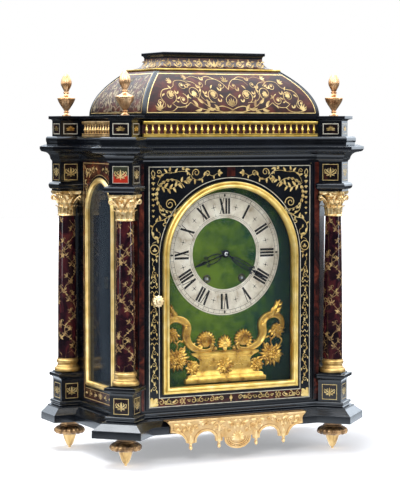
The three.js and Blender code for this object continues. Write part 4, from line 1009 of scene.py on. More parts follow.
# Galleries of gilt brass between the dies: a rail below and above, and a row of turned balusters
# riveted between them, set against a strip of dark red velvet paper on the attic wall.
gallery_bottom, gallery_top, baluster_pitch = 490.77, 514.0, 10.2
paper_bottom, paper_top = 495, 510


def rail(length, bottom, heights):
    """a moulded bar along x, its section from (inset, height)"""
    rings = []
    for inset, height in heights:
        hx, hy = length / 2, 2.75 + inset
        rings.append([(-hx, -hy, bottom + height), (hx, -hy, bottom + height), (hx, hy, bottom + height),
                      (-hx, hy, bottom + height)])
    return stacked_rings(rings)


baluster_profile = round_profile([
    (0.02, 0), (1.75, 0), (1.75, 0), (1.75, 1.1), (1.75, 1.1), (1.0, 1.5), (1.4, 2.6), (2.5, 4.6), (2.65, 5.8),
    (1.9, 8.0), (1.05, 10.4), (0.95, 11.4), (0.95, 11.4), (1.7, 11.9), (1.7, 12.6), (1.7, 12.6), (1.2, 12.9),
    (1.3, 13.6), (1.9, 14.35), (1.9, 14.35), (0.02, 14.35),
], 2)


def gallery_parts(length):
    """two rails and the balusters between them, along x"""
    parts = [
        rail(length, gallery_bottom, [(0, 0), (0, 1.5), (-0.5, 1.9), (-0.5, 3.0), (-0.2, 3.4), (-0.2, 4.1),
                                      (-0.6, 4.5)]),
        rail(length, gallery_top - 4.4, [(-0.9, 0), (-0.4, 0.5), (-0.4, 1.3), (0, 1.9), (0, 3.6), (-0.4, 4.38)]),
    ]
    count = int(length // baluster_pitch)
    for i in range(count):
        shift = (i - (count - 1) / 2) * baluster_pitch
        parts.append(stacked_rings(moved(turned_rings(baluster_profile, 10), shift, 0, gallery_bottom + 4.45)))
    return gathered(parts)


dark_red_paper = new_finish("dark_red_paper", (0.05, 0.008, 0.01), 0.7)
mottle(dark_red_paper, "Base Color", 140, [(0.35, (0.02, 0.005, 0.006)), (0.7, (0.09, 0.012, 0.012))])
bright_gilt = new_finish("bright_gilt", (0.72, 0.52, 0.16), 0.34, metallic=0.85)
mottle(bright_gilt, "Base Color", 80, [
    (0.28, (0.48, 0.30, 0.05)), (0.46, (0.64, 0.43, 0.09)), (0.75, (0.80, 0.60, 0.20)),
], detail=4)
mottle(bright_gilt, "Roughness", 60, [(0.3, 0.28), (0.75, 0.4)])
grain_bump(bright_gilt, 240, 0.06, 0.0001)
front_gallery_half, front_gallery_y = 148.38, -78.695
side_gallery, side_gallery_x = (-36.3242, 81.5), 177.35
points, faces = gallery_parts(2 * front_gallery_half)
shown_piece("front_gallery", [(x, y + front_gallery_y, z) for x, y, z in points], faces, bright_gilt, "case", "gilt",
            smooth=40, replaces=("gallery_front",))
inlay("front_gallery_paper", flat_place((0, front_wall + 0.7, 0), (1, 0, 0)),
      [panel(-148, 148, paper_bottom, paper_top)], dark_red_paper, "case", rise=0.06)
for name, side in (("left", -1), ("right", 1)):
    points, faces = gallery_parts(side_gallery[1] - side_gallery[0])
    middle = sum(side_gallery) / 2
    points = [(side * side_gallery_x - y * side, middle + x * side, z) for x, y, z in points]
    # painted shade: the side galleries take the darker, less metallic foot gilt in place of the front gallery's bright
    # gilt, so that they reflect less light
    shown_piece(f"side_gallery_{name}", points, faces, foot_gilt, "case", "gilt", smooth=40,
                replaces=(f"gallery_{name}",))
    inlay(f"side_gallery_paper_{name}", flat_place((side * (side_wall - 0.7), middle, 0), (0, side, 0)),
          [panel(-58, 58, paper_bottom, paper_top)], dark_red_paper, "case", rise=0.06)

# Four finials: turned and chased gilt urns that end in a bud, each on a screwed peg in the die.
rose_gilt = new_finish("rose_gilt_bronze", (0.74, 0.48, 0.20), 0.36, metallic=0.85)
mottle(rose_gilt, "Base Color", 75, [
    (0.30, (0.24, 0.10, 0.04)), (0.44, (0.64, 0.35, 0.16)), (0.74, (0.84, 0.56, 0.32)),
], detail=6)
mottle(rose_gilt, "Roughness", 110, [(0.3, 0.26), (0.75, 0.46)])
grain_bump(rose_gilt, 340, 0.4, 0.0002)
attic_top = 522.52
urn_profile = round_profile([
    (0.02, 0), (6.9, 0), (6.9, 0), (6.9, 1.1), (6.9, 1.1), (5.2, 1.9), (3.6, 3.6), (3.3, 5.2), (3.3, 5.2), (4.4, 5.9),
    (4.4, 7.0), (4.4, 7.0), (3.2, 7.8), (5.0, 10.6), (9.6, 17.5), (12.6, 22.6), (13.5, 25.3), (13.5, 25.3),
    (13.9, 26.2), (13.9, 28.0), (13.9, 28.0), (12.2, 29.2), (7.6, 31.0), (4.4, 33.0), (3.6, 35.0),
    (3.6, 35.0), (4.6, 35.8), (4.6, 37.0), (4.6, 37.0), (3.6, 37.9), (4.9, 41.2), (7.8, 47.0), (8.7, 51.4),
    (7.6, 57.0), (4.6, 62.6), (1.7, 65.9), (0.02, 66.5),
], 4)
urn_lobes = []
for radius, level in urn_profile:
    bowl = 1.1 * min(1, max(0, (level - 8) / 6)) if 8 < level < 25.3 else 0
    bud = 0.9 * math.sin(math.pi * (level - 38) / 28) if 38 < level < 66 else 0
    urn_lobes.append(max(bowl, bud))
for corner, (side, x, y, is_front) in corner_places.items():
    shown_piece(f"finial_urn_{corner}",
                *stacked_rings(moved(turned_rings(urn_profile, 48, 12, urn_lobes), x, y, attic_top)),
                rose_gilt, "case", "gilt", smooth=45, replaces=(f"finial_{corner}",))

# The dome: a swelling four-sided lid of tortoiseshell marquetry, its hips and foot edged in ebony
# with a brass string inside, under a gilt lip, a hollow neck and a flared top moulding.
dome_foot, dome_height = attic_top, 68.98
dome_front_y, dome_back_y = -82.8457, 123.2
dome_centre_y = (dome_front_y + dome_back_y) / 2
dome_reach = (150.0, (dome_back_y - dome_front_y) / 2)
dome_close = (44.0, 49.0)


def dome_halves(share):
    """half the width and half the depth of the dome at a share of its height"""
    return [reach - close * share ** 2 for reach, close in zip(dome_reach, dome_close)]


def four_sided(half_x, half_y, z):
    return [(-half_x, dome_centre_y - half_y, z), (half_x, dome_centre_y - half_y, z),
            (half_x, dome_centre_y + half_y, z), (-half_x, dome_centre_y + half_y, z)]


def face_place(face, halves, slopes, foot):
    """a face of the dome or its neck: u across it, v the height over its foot, both in millimetres"""
    way, index = (-1 if face in ("front", "left") else 1), (0 if face in ("front", "back") else 1)

    def place(uv):
        half, slope, z = halves(uv[:, 1])[1 - index], slopes(uv[:, 1])[1 - index], foot + uv[:, 1]
        flat, outward = np.zeros(len(uv)), np.full(len(uv), way)
        if index == 0:
            points = np.stack([-way * uv[:, 0], dome_centre_y + way * half, z], 1)
            normal = np.stack([flat, outward, slope], 1)
        else:
            points = np.stack([way * half, dome_centre_y + way * uv[:, 0], z], 1)
            normal = np.stack([outward, flat, slope], 1)
        return points, normal / np.linalg.norm(normal, axis=1, keepdims=True)
    return place


def dome_place(face):
    return face_place(face, lambda v: dome_halves(v / dome_height),
                      lambda v: [2 * close * v / dome_height ** 2 for close in dome_close], dome_foot)


dome_rings = [four_sided(*dome_halves(step / 28), dome_foot + dome_height * step / 28) for step in range(29)]
dome_shell = new_finish("dome_tortoiseshell", (0.08, 0.02, 0.012), 0.30, coat=0.06, Specular_IOR_Level=0.18)
mottle(dome_shell, "Base Color", 50, [
    (0.36, (0.012, 0.004, 0.004)), (0.5, (0.040, 0.009, 0.007)), (0.64, (0.090, 0.019, 0.012)),
    (0.78, (0.16, 0.042, 0.022)),
], detail=6, distort=0.8)
grain_bump(dome_shell, 160, 0.12, 0.0001)
shown_piece("dome_shell", *stacked_rings(dome_rings), dome_shell, "case", "marquetry", smooth=25,
            replaces=("dome",))


neck_foot, neck_reach, neck_squeeze = 594.5, (106, 53.93), 0.85


def neck_halves(out):
    return neck_reach[0] + out, neck_reach[1] + out * neck_squeeze


def neck_rings(section):
    return [four_sided(*neck_halves(out), z) for out, z in section]


gilt_lip = [(0.4, 591.5), (1.2, 591.7), (1.5, 592.3), (1.5, 593.4), (1.1, 594.2), (0.2, 594.5)]
shown_piece("dome_gilt_lip", *stacked_rings(neck_rings(gilt_lip)), bright_gilt, "case", "gilt", smooth=40)
neck_section = moulding_section(neck_foot, 611.0, (-8.0, 0.0), ("line", -8.0, 0.07), ("hollow", -21.0, 1.0))
neck_brown = new_finish("neck_shell", (0.06, 0.02, 0.012), 0.24, coat=0.3)
mottle(neck_brown, "Base Color", 70, [
    (0.35, (0.022, 0.008, 0.006)), (0.5, (0.06, 0.02, 0.012)), (0.68, (0.14, 0.05, 0.025)),
], detail=5, distort=0.6)
shown_piece("dome_neck", *stacked_rings(neck_rings(neck_section)), neck_brown, "case", "marquetry", smooth=30)
cap_section = moulding_section(
    611.0, 620.0, (-21.0, 0.0), ("hollow", -18.0, 0.50), ("line", -17.5, 0.56), ("line", -17.5, 0.93),
    ("line", -17.9, 1.0))
shown_piece("dome_cap", *stacked_rings(neck_rings(cap_section)), ebonised, "case", "ebony", smooth=30)


def neck_place(face):
    """the hollow face of the neck, between its gilt lip and the cap"""
    outs, levels = [out for out, _ in neck_section], [z for _, z in neck_section]

    def lean(v):
        z = neck_foot + v
        return (np.interp(z - 0.4, levels, outs) - np.interp(z + 0.4, levels, outs)) / 0.8
    return face_place(face, lambda v: neck_halves(np.interp(neck_foot + v, levels, outs)),
                      lambda v: (lean(v), lean(v) * neck_squeeze), neck_foot)


def neck_scrolls(half):
    """a running band of leaf scrolls for one face of the neck"""
    pieces, count = [], max(1, int(half // 15))
    step = half / count
    for k in range(count):
        u = (k + 0.5) * step
        pieces += [tapered(scroll_path((u, 8.0), 5.4, 1.4, 200, -420, 18), 1.3, 0.6),
                   leaf((u - 5.0, 6.6), 62, 7.6, 2.9, -46), leaf((u + 2.0, 3.4), 24, 7.4, 2.8, 44),
                   leaf((u + 3.4, 11.4), 20, 6.4, 2.4, -40), leaf((u - 1.2, 12.2), 98, 3.6, 1.9, 0),
                   disc((u + 0.2, 8.0), 1.4, 8),
                   tapered(bent_path([(u - 5, 6.5), (u - 2.5, 3.4), (u + 2, 3.0), (u + 6.5, 5.4)], 4), 1.1, 0.7)]
    pieces += turned_over(pieces)
    pieces += [leaf((0, 3.2), 90, 10.2, 4.4), leaf((0, 3.6), 40, 6.2, 2.4, 30), leaf((0, 3.6), 140, 6.2, 2.4, -30)]
    return pieces


def dome_arabesque(half_foot):
    """one half of a dome face: acanthus stems along the foot, scrolls over them and tendrils"""
    def on_foot(points):
        return [(u * half_foot, v) for u, v in points]

    def stem(points, wide=1.9, fine=0.5):
        return tapered(bent_path(on_foot(points), 6), wide * 0.60, fine)

    def coil(u, v, radius, start, turn, wide=1.7, leafy=True):
        middle, way = (u * half_foot, v), 1 if turn > 0 else -1
        coiled = [tapered(scroll_path(middle, radius, radius * 0.28, start, turn, 26), wide * 0.60, 0.5),
                  disc(middle, radius * 0.17 + 0.5, 8)]
        for share in [0.12 + 0.2 * k for k in range(3 if leafy else 0)]:
            a, r = math.radians(start + turn * share), radius * (1 - 0.26 * share)
            coiled.append(leaf((middle[0] + r * math.cos(a), v + r * math.sin(a)),
                               math.degrees(a) + way * 32, radius * 0.62, radius * 0.2, way * 50, 7))
        return coiled

    def palm(u, v, heading, size, spread=34, count=5):
        offs = [k - (count - 1) / 2 for k in range(count)]
        return [leaf((u * half_foot, v), heading + off * spread, size * (1 - 0.13 * abs(off)), size * 0.24,
                     -off * 20, 7) for off in offs]

    pieces = [
        # the long acanthus stem that rises from the middle of the foot, and its leaves
        stem([(0.0, 7), (0.09, 5.5), (0.20, 8.5), (0.31, 16), (0.40, 27)], 2.8, 0.6),
        stem([(0.0, 9), (0.07, 13), (0.14, 14.5), (0.22, 11), (0.32, 9), (0.42, 13), (0.50, 20)], 2.4, 0.5),
        *[leaf((u * half_foot, v), heading, 12.5, 4.2, 44 if heading < 30 else -44)
          for u, v, heading in ((0.10, 5.8, -28), (0.17, 7.4, 74), (0.22, 9.6, -8), (0.28, 13.2, 92), (0.34, 19.4, 22),
                                (0.28, 9.2, -42), (0.37, 10.2, -30), (0.42, 13.4, 72))],
        # the scrolls with leaves, the small bare ones over them, and the stems between
        *coil(0.20, 31, 11.5, -70, 470), *coil(0.44, 35, 11.0, 230, -480), *coil(0.58, 24, 9.5, 100, 450),
        *coil(0.72, 30, 11.0, 260, -470), *coil(0.55, 46, 6.5, 200, 400, 1.3, leafy=False),
        *coil(0.32, 48, 6.0, -20, -400, 1.3, leafy=False), *coil(0.08, 46, 5.5, 180, 400, 1.2, leafy=False),
        stem([(0.20, 20), (0.30, 22), (0.36, 30), (0.34, 40), (0.40, 50), (0.50, 53)], 1.6),
        stem([(0.50, 20), (0.56, 14), (0.66, 13), (0.72, 19)], 1.9),
        stem([(0.44, 46), (0.52, 53), (0.62, 52), (0.66, 44), (0.72, 41)], 1.4),
        stem([(0.0, 40), (0.05, 50), (0.12, 56), (0.22, 54), (0.26, 47)], 1.5),
        stem([(0.0, 33), (0.06, 26), (0.05, 18), (0.0, 14)], 1.5, 0.8),
        stem([(0.72, 41), (0.80, 38), (0.84, 28), (0.80, 16), (0.86, 9)], 1.7),
        stem([(0.66, 13), (0.72, 7), (0.82, 6), (0.90, 9), (0.92, 15)], 2.0),
        stem([(0.12, 56), (0.20, 60), (0.30, 57), (0.38, 60), (0.46, 57)], 1.2),
        *coil(0.86, 20, 6.0, 250, -420, 1.4, leafy=False),
        # fans of leaves at the ends, and loose pairs between
        *palm(0.86, 9, 60, 11), *palm(0.66, 50, 40, 9, count=4), *palm(0.46, 57, 20, 8, count=4),
        *palm(0.0, 52, 90, 9, 40), *palm(0.44, 35, 250, 9), *palm(0.20, 31, 80, 9), *palm(0.72, 30, 120, 8.5),
        *palm(0.0, 16, 90, 12, 30),
    ]
    for u, v in on_foot(((0.11, 38), (0.30, 33), (0.50, 42), (0.64, 33), (0.28, 54), (0.76, 12), (0.36, 42),
                         (0.14, 21))):
        pieces += [leaf((u, v), 40, 6.2, 2.4, 60), leaf((u, v), 150, 5.6, 2.2, -60)]
    return pieces + turned_over(pieces)


def clipped_to_dome(pieces, face):
    """leaves out what would run into the borders of a dome face"""
    index = 0 if face in ("front", "back") else 1
    kept = []
    for outline, fills in pieces:
        share = outline[:, 1] / dome_height
        limit = dome_reach[index] - dome_close[index] * share ** 2 - 9.0
        if np.all(np.abs(outline[:, 0]) < limit) and np.all(outline[:, 1] < 64) and np.all(outline[:, 1] > 3.4):
            kept.append((outline, fills))
    return kept


dome_brass = new_finish("dome_brass_inlay", (0.56, 0.39, 0.16), 0.42, metallic=0.4)
mottle(dome_brass, "Base Color", 70, [(0.3, (0.20, 0.11, 0.04)), (0.5, (0.50, 0.34, 0.13)),
                                      (0.76, (0.80, 0.60, 0.27))], detail=5)
grain_bump(dome_brass, 600, 0.4, 0.0001)
glancing_grey_brass = new_finish("glancing_grey_brass_inlay", (0.36, 0.30, 0.20), 0.42, metallic=0.7)
mottle(glancing_grey_brass, "Base Color", 90, [(0.3, (0.14, 0.11, 0.08)), (0.55, (0.34, 0.27, 0.17)),
                                      (0.78, (0.55, 0.46, 0.30))])
grain_bump(glancing_grey_brass, 600, 0.4, 0.0001)
for face in ("front", "back", "left", "right"):
    index = 0 if face in ("front", "back") else 1
    half = dome_reach[index]
    levels = np.linspace(0, dome_height - 0.3, 20)
    edge = half - dome_close[index] * (levels / dome_height) ** 2
    hips = [strip(np.stack([way * (edge - 2.6), levels], 1), 5.2) for way in (-1, 1)]
    foot_band = strip(np.stack([np.linspace(-half + 0.5, half - 0.5, 9), np.full(9, 2.0)], 1), 3.6)
    inlay(f"dome_border_{face}", dome_place(face), hips + [foot_band], ebonised, "case", rise=0.08)
    line_levels = np.linspace(4.4, 63.8, 18)
    line_edge = half - dome_close[index] * (line_levels / dome_height) ** 2 - 6.6
    outline = [strip(np.stack([way * line_edge, line_levels], 1), 1.1) for way in (-1, 1)]
    outline += [strip([(-line_edge[0], 4.4), (0, 4.4), (line_edge[0], 4.4)], 1.1),
                strip([(-line_edge[-1], 63.8), (0, 63.8), (line_edge[-1], 63.8)], 1.1)]
    inlay(f"dome_string_{face}", dome_place(face), outline, sawn_brass, "case", rise=0.14)
    # painted reflection: the left and back faces take a greyer copy of the dome brass, standing in for the grey
    # glancing light on the left face
    metal = dome_brass if face in ("front", "right") else glancing_grey_brass
    inlay(f"dome_arabesque_{face}", dome_place(face),
          clipped_to_dome(dome_arabesque(half * 0.93), face), metal, "case",
          rise=0.14)
    neck_half = neck_reach[index] - 24
    inlay(f"neck_scrolls_{face}", neck_place(face), neck_scrolls(neck_half + 6), dome_brass, "case", rise=0.12)

# The case: an ebonised carcass. Its side walls are veneered with red-brown shell and brass round
# an arched window, whose black reveal holds a gilt frame and a pane tinted near black and half opaque as painted shade
# of the case inside, with upright streaks of painted reflection.
nodes["case_body"].data.materials[0] = ebonised


def side_place(side, out=0.0):
    """an outer side wall: u across it from the middle of the window, v the height"""
    return flat_place((side * (side_wall + out), 23.0, 0), (0, side, 0))


def arch_path(half_width, bottom, spring, steps=28):
    """an upright outline with a half-round head, from its lower left corner round to the right"""
    points = [(-half_width, bottom), (-half_width, spring)]
    for step in range(1, steps):
        angle = math.pi - step / steps * math.pi
        points.append((half_width * math.cos(angle), spring + half_width * math.sin(angle)))
    return points + [(half_width, spring), (half_width, bottom)]


def arch_band(outer, inner, bottom_outer, bottom_inner, spring, steps=28):
    """a flat band between two arched outlines"""
    out, ins = arch_path(outer, bottom_outer, spring, steps), arch_path(inner, bottom_inner, spring, steps)
    return [plate([out[i - 1], ins[i - 1], ins[i], out[i]]) for i in [*range(1, len(out)), 0]]


window_bottom, window_spring, window_half = 102.0, 373.5, 54.5


def framed_wall(left, right, bottom, top, hole_half, hole_bottom, hole_spring):
    """a veneer with an arched hole, in pieces that meet edge to edge"""
    steps = 28
    pieces = [panel(left, right, bottom, hole_bottom),
              panel(left, -hole_half, hole_bottom, hole_spring),
              panel(hole_half, right, hole_bottom, hole_spring)]
    arc = [(hole_half * math.cos(math.pi - k / steps * math.pi),
            hole_spring + hole_half * math.sin(k / steps * math.pi))
           for k in range(steps + 1)]
    pieces += [plate([(left, hole_spring), (-hole_half, hole_spring)] + arc[1:steps // 2 + 1]
                     + [(0, top), (left, top)]),
               plate([(0, top)] + arc[steps // 2:] + [(right, hole_spring), (right, top)])]
    return pieces


def corner_scrolls(half, top):
    """brass rinceaux for the corner over an arched window"""
    pieces = [tapered(scroll_path((half - 15, top - 15), 10.5, 2.4, 220, -450, 24), 1.4, 0.6),
               tapered(scroll_path((half - 11, top - 38), 7.0, 1.8, 80, 420, 20), 1.2, 0.6),
               tapered(scroll_path((half - 40, top - 9), 6.0, 1.6, 10, -400, 20), 1.2, 0.6),
               tapered(bent_path([(half - 24, top - 20), (half - 30, top - 15), (half - 34, top - 9)]), 1.2),
               tapered(bent_path([(half - 12, top - 25), (half - 6, top - 30), (half - 5, top - 38)]), 1.2)]
    for u, v, heading, long in ((15, 15, 45, 9), (15, 15, 165, 8), (15, 15, 285, 8), (24, 8, 200, 8), (6, 25, 250, 8),
                                (33, 8, 170, 9), (11, 38, 260, 8), (40, 9, 100, 6), (8, 8, 45, 7), (11, 46, 240, 9),
                                (8, 54, 280, 8), (48, 7, 190, 8)):
        pieces.append(leaf((half - u, top - v), heading, long, long * 0.4, 24))
    return pieces


window_gilt = new_finish("window_gilt", (0.84, 0.60, 0.23), 0.4, metallic=0.7)
mottle(window_gilt, "Base Color", 60, [(0.3, (0.68, 0.44, 0.13)), (0.5, (0.84, 0.60, 0.23)),
                                       (0.75, (0.94, 0.74, 0.36))], detail=4)
mottle(window_gilt, "Roughness", 70, [(0.3, 0.34), (0.75, 0.5)])
wall_shell = new_finish("brown_shell_veneer", (0.10, 0.03, 0.012), 0.24, coat=0.3, Specular_IOR_Level=0.35)
mottle(wall_shell, "Base Color", 48, [
    (0.36, (0.014, 0.005, 0.005)), (0.5, (0.05, 0.013, 0.008)), (0.62, (0.12, 0.032, 0.014)),
    (0.75, (0.20, 0.06, 0.02)),
], detail=6, distort=0.9)
# painted shade and reflection: the pane is half opaque and near black, which darkens the case inside, and its colour is
# streaked upright as soft reflections
dark_streaked_glass = new_finish("window_glass", (0.020, 0.032, 0.044), 0.04, Alpha=0.55, Specular_IOR_Level=0.5)
mottle(dark_streaked_glass, "Roughness", 30, [(0.4, 0.03), (0.7, 0.07)])
mottle(dark_streaked_glass, "Base Color", 14, [(0.35, (0.010, 0.017, 0.026)), (0.55, (0.024, 0.036, 0.050)),
                                       (0.7, (0.046, 0.062, 0.080))],
       stretch=(1, 1, 0.12))
window_sections = [(0.0, 0.0), (0.3, 0.9), (1.2, 1.3), (1.9, 2.4), (3.2, 3.5), (4.6, 4.0), (6.0, 3.5), (7.0, 2.2),
                   (7.4, 1.0), (8.0, 0.6), (8.0, 0.0)]


def arched_moulding(outer, bottom, spring, section, place, steps=40):
    """a moulded frame swept round an arched outline: section is (inward, out), closed along its back"""
    rings = []
    for inward, out in section:
        base, normal = place(np.array(arch_path(outer - inward, bottom + inward, spring, steps)))
        rings.append(base + normal * out)
    return looped_rings(rings)


for name, side in (("left", -1), ("right", 1)):
    inlay(f"side_veneer_{name}", side_place(side), framed_wall(-66, 66, 79.5, 452, 58.4, 98.2, window_spring),
          wall_shell, "case", rise=0.06)
    half = 64.0
    lines = [strip([(-half, 82.0), (half, 82.0)], 0.9), strip([(-half, 449.6), (half, 449.6)], 0.9),
             strip([(-half, 81.6), (-half, 450.0)], 0.9), strip([(half, 81.6), (half, 450.0)], 0.9)]
    lines += arch_band(59.0, 58.2, 97.6, 98.4, window_spring)
    inlay(f"side_strings_{name}", side_place(side), lines, sawn_brass, "case")
    scrolls = corner_scrolls(64, 449)
    vines = [leaf((u, 90.2), 90 + 90 * math.copysign(1, -u) * 0.9, 9, 3.4, 24) for u in (-50, -32, -14, 14, 32, 50)]
    vines += [tapered(scroll_path((u, 90.0), 5.2, 1.2, 90, math.copysign(400, u), 16), 1.0) for u in (-41, -23, 23, 41)]
    vines += shifted(lily(6.6), 0, 90.4)
    inlay(f"side_scrolls_{name}", side_place(side), scrolls + turned_over(scrolls) + vines, sawn_brass, "case")
    reveal = [(0.0, 0.0), (0.0, 0.5), (3.6, 0.5), (3.6, 0.0)]
    points, faces = arched_moulding(58.2, 98.4, window_spring, reveal, side_place(side, 0.02))
    shown_piece(f"window_border_{name}", points, faces, ebonised, "case", "ebony", smooth=0)
    points, faces = arched_moulding(window_half, window_bottom, window_spring, window_sections, side_place(side, 0.02))
    shown_piece(f"window_moulding_{name}", points, faces, window_gilt, "case", "gilt", smooth=50)
    points, faces = arched_moulding(50.1, 106.4, window_spring, [(0, 0.5), (3.6, 0.5), (3.6, -2.98), (0, -2.98)],
                                    side_place(side, 0.02))
    shown_piece(f"window_rebate_{name}", points, faces, window_gilt, "case", "gilt", smooth=0,
                replaces=(f"window_frame_{name}",))
    nodes[f"window_glass_{name}"].data.materials[0] = dark_streaked_glass

# Narrow strips of red tortoiseshell beside the door, on the front wall and its splayed corners: each
# is one long piece of shell, glued to the black wood.
for side in (-1, 1):
    name = "left" if side < 0 else "right"
    inlay(f"front_strip_{name}", flat_place((0, front_wall, 0), (1, 0, 0)),
          [panel(side * 146.0, side * 154.2, 79.4, 451)],
          tortoiseshell, "case", rise=0.06)
    splay = np.array([side, 1, 0]) / math.sqrt(2)
    middle = np.array([side * (154.9785 + 175) / 2, (front_wall - 56.3242) / 2, 0])
    inlay(f"splay_strip_{name}", flat_place(middle, side * splay),
          [panel(-12.8, 12.8, 143, 366)], tortoiseshell, "case", rise=0.06)

# The front door: a flat ebonised frame inlaid in brass and pewter. A pale string runs round it and
# round the arch, with leafy scrolls in the spandrels, vines down the stiles and shell at the foot.
nodes["front_door"].data.materials[0] = ebonised
for pin in ("front_hinge_pin_bottom", "front_hinge_pin_top"):
    nodes[pin].data.materials[0] = sawn_brass
door_place = flat_place((0, front_wall, 0), (1, 0, 0))
string_half, string_bottom, string_top = 137.5, 84.0, 445.8
arch_spring, arch_line, line_bottom = 307.5, 121.0, 97.5
door_strings = frame_lines(string_half, string_bottom, string_top, 1.1)
door_strings += arch_band(arch_line + 0.55, arch_line - 0.55, line_bottom - 0.55, line_bottom + 0.55, arch_spring, 48)
inlay("door_strings", door_place, door_strings, pale_string, "front_door", rise=0.14)

foot_band = [plate([(-string_half + 0.6, string_bottom + 0.6), (string_half - 0.6, string_bottom + 0.6),
                    (string_half - 0.6, line_bottom - 0.6), (-string_half + 0.6, line_bottom - 0.6)])]
inlay("door_foot_shell", door_place, foot_band, tortoiseshell, "front_door", rise=0.05)
crown_panel = [panel(-7, 7, 430.5, 444.8)]
inlay("door_crown_shell", door_place, crown_panel, tortoiseshell, "front_door", rise=0.05)

fine_brass = new_finish("fine_brass_inlay", (0.80, 0.62, 0.30), 0.38, metallic=0.4)
mottle(fine_brass, "Base Color", 100, [
    (0.3, (0.48, 0.30, 0.09)), (0.48, (0.76, 0.55, 0.20)), (0.75, (0.95, 0.76, 0.36)),
], detail=5)
mottle(fine_brass, "Roughness", 130, [(0.3, 0.3), (0.7, 0.48)])
grain_bump(fine_brass, 650, 0.5, 0.00012)


def trefoil(u, v, size, heading=90):
    """three small leaves from one point"""
    return [leaf((u, v), heading + off, size * long, size * wide, 0, 5)
            for off, long, wide in ((0, 1, 0.62), (68, 0.78, 0.5), (-68, 0.78, 0.5))]


def leafy_arc(centre, radius, start, turn, size, count, inner=True):
    """leaves that spring from an arc, larger in its middle"""
    out = []
    for k in range(count):
        share = (k + 0.5) / count
        a = math.radians(start + turn * share)
        point = (centre[0] + radius * math.cos(a), centre[1] + radius * math.sin(a))
        way = 1 if turn > 0 else -1
        swell = size * (0.6 + 0.5 * math.sin(math.pi * share))
        out.append(leaf(point, math.degrees(a) + way * 60, swell, swell * 0.42, way * 40, 6))
        if inner:
            out.append(leaf(point, math.degrees(a) + way * 130, swell * 0.8, swell * 0.36, -way * 40, 6))
    return out


def spandrel():
    """the brass drawing of the right-hand corner over the arch and the top of its stile"""
    pieces = []

    def stem(points, wide=1.3, fine=0.6):
        return tapered(bent_path(points, 5), wide * 0.62, fine * 0.8)

    # the trefoil chain down the outer edge
    pieces.append(tapered(bent_path([(131.5, 441), (133.5, 436), (130.5, 431), (128.0, 436), (131.5, 441)], 4), 0.9,
                          0.9))
    for k, v in enumerate(np.linspace(431, 373, 8)):
        pieces.extend(trefoil(130.6, v, 4.6 - 0.22 * k, -90))
    # the great circle with the spiral inside it
    centre = (101.0, 402.0)
    pieces += [tapered(scroll_path(centre, 25.5, 22.5, 150, -285, 40), 0.9, 0.6),
               *leafy_arc(centre, 24.2, 140, -250, 5.6, 15),
               stem([(121.8, 388), (118, 376), (106, 370.5), (97.5, 374.5), (93.5, 383.5)], 1.4),
               tapered(scroll_path((103.0, 389.5), 9.6, 2.4, 190, -560, 34), 1.3, 0.6),
               *leafy_arc((104, 386), 13.5, -150, 140, 7.5, 4, inner=False)]
    # the leafy branch across the circle
    pieces += [stem([(123, 418), (113, 415), (104, 412.5), (95, 415.5), (86, 422), (75, 426)], 1.5, 0.7),
               *leaves([(121, 418, 140, 8), (116, 415.5, 235, 8.5), (112, 414.6, 120, 9.5), (107, 413, 228, 9),
                         (103, 412.6, 112, 9), (98, 414, 222, 8.5), (94, 416, 100, 9), (89, 419.6, 215, 9),
                         (84, 423, 96, 8), (80, 424.6, 206, 8), (75, 426, 170, 9), (75, 426, 215, 7.5),
                         (75, 426, 128, 7.5)], 0.42, 26, 6)]
    # branches over and under the circle
    pieces += [stem([(72, 420), (66, 429), (73, 437), (85, 439), (98, 437), (106, 441)], 1.3),
               *leafy_arc((80, 436), 7.0, 40, 150, 7.0, 3),
               stem([(100, 436.5), (109, 436.8), (116, 433), (121, 426), (124, 419)], 1.2)]
    for u, v, heading in ((108, 437, 60), (113, 435, -20), (118, 430.5, 30), (104, 439, 110), (95, 438, 140)):
        pieces.append(leaf((u, v), heading, 7.6, 3.2, -30, 6))
    pieces.append(tapered(scroll_path((121.5, 438.0), 4.2, 1.2, 210, -420, 16), 1.0, 0.6))
    # the branch along the top to the middle
    pieces += [tapered(scroll_path((59.0, 436.6), 7.0, 2.0, -30, 470, 26), 1.3, 0.6),
               stem([(66, 429), (58, 425.6), (50, 428), (44, 433), (38, 434)], 1.4),
               *leaves([(62, 426.5, 255, 7.5), (56, 425.8, 165, 7), (50, 428, 250, 7), (46, 431.5, 100, 7.5)], 0.42,
                       30, 6),
               tapered(scroll_path((40.5, 436.5), 4.6, 1.3, -80, -430, 18), 1.1, 0.6),
               stem([(38, 434), (31, 431.5), (25, 434.5), (21.5, 436)], 1.1), *trefoil(21.5, 436, 7.4, 180),
               leaf((30, 432), 250, 5.6, 2.4, 30, 6)]
    # the scrolls that hang into the stile
    pieces += [stem([(106, 370.5), (115, 366), (124, 364), (131.5, 356), (133, 345), (127, 337.5), (120.5, 340),
                     (119.6, 346.5), (124, 349.5)], 1.6, 0.5),
               tapered(scroll_path((112.5, 360.0), 4.6, 1.2, 90, 430, 18), 1.1, 0.6),
               *leaves([(118, 365.5, 60, 8), (126, 362, 100, 8.5), (131, 356, 20, 6), (132.4, 349, 250, 9),
                         (129.5, 340.5, 180, 8.5), (124, 349.5, 60, 5.5), (124, 338.2, 250, 7), (112, 367.6, 250, 7)],
                         0.42, 30, 6),
               tapered(scroll_path((128.5, 322.0), 7.4, 7.0, 110, -390, 26), 1.1, 1.0),
               *trefoil(128.3, 319.6, 5.2, 90), stem([(126, 334), (131.5, 331.5), (131, 329)], 1.0),
               stem([(128.0, 314.6), (125.4, 309), (130.5, 304.6), (132.4, 299.6), (128.5, 296)], 1.0)]
    for u, v, heading in ((127, 311.5, 160), (130.5, 304.6, 60), (126, 308, 250)):
        pieces.append(leaf((u, v), heading, 5.6, 2.4, 30, 5))
    return pieces


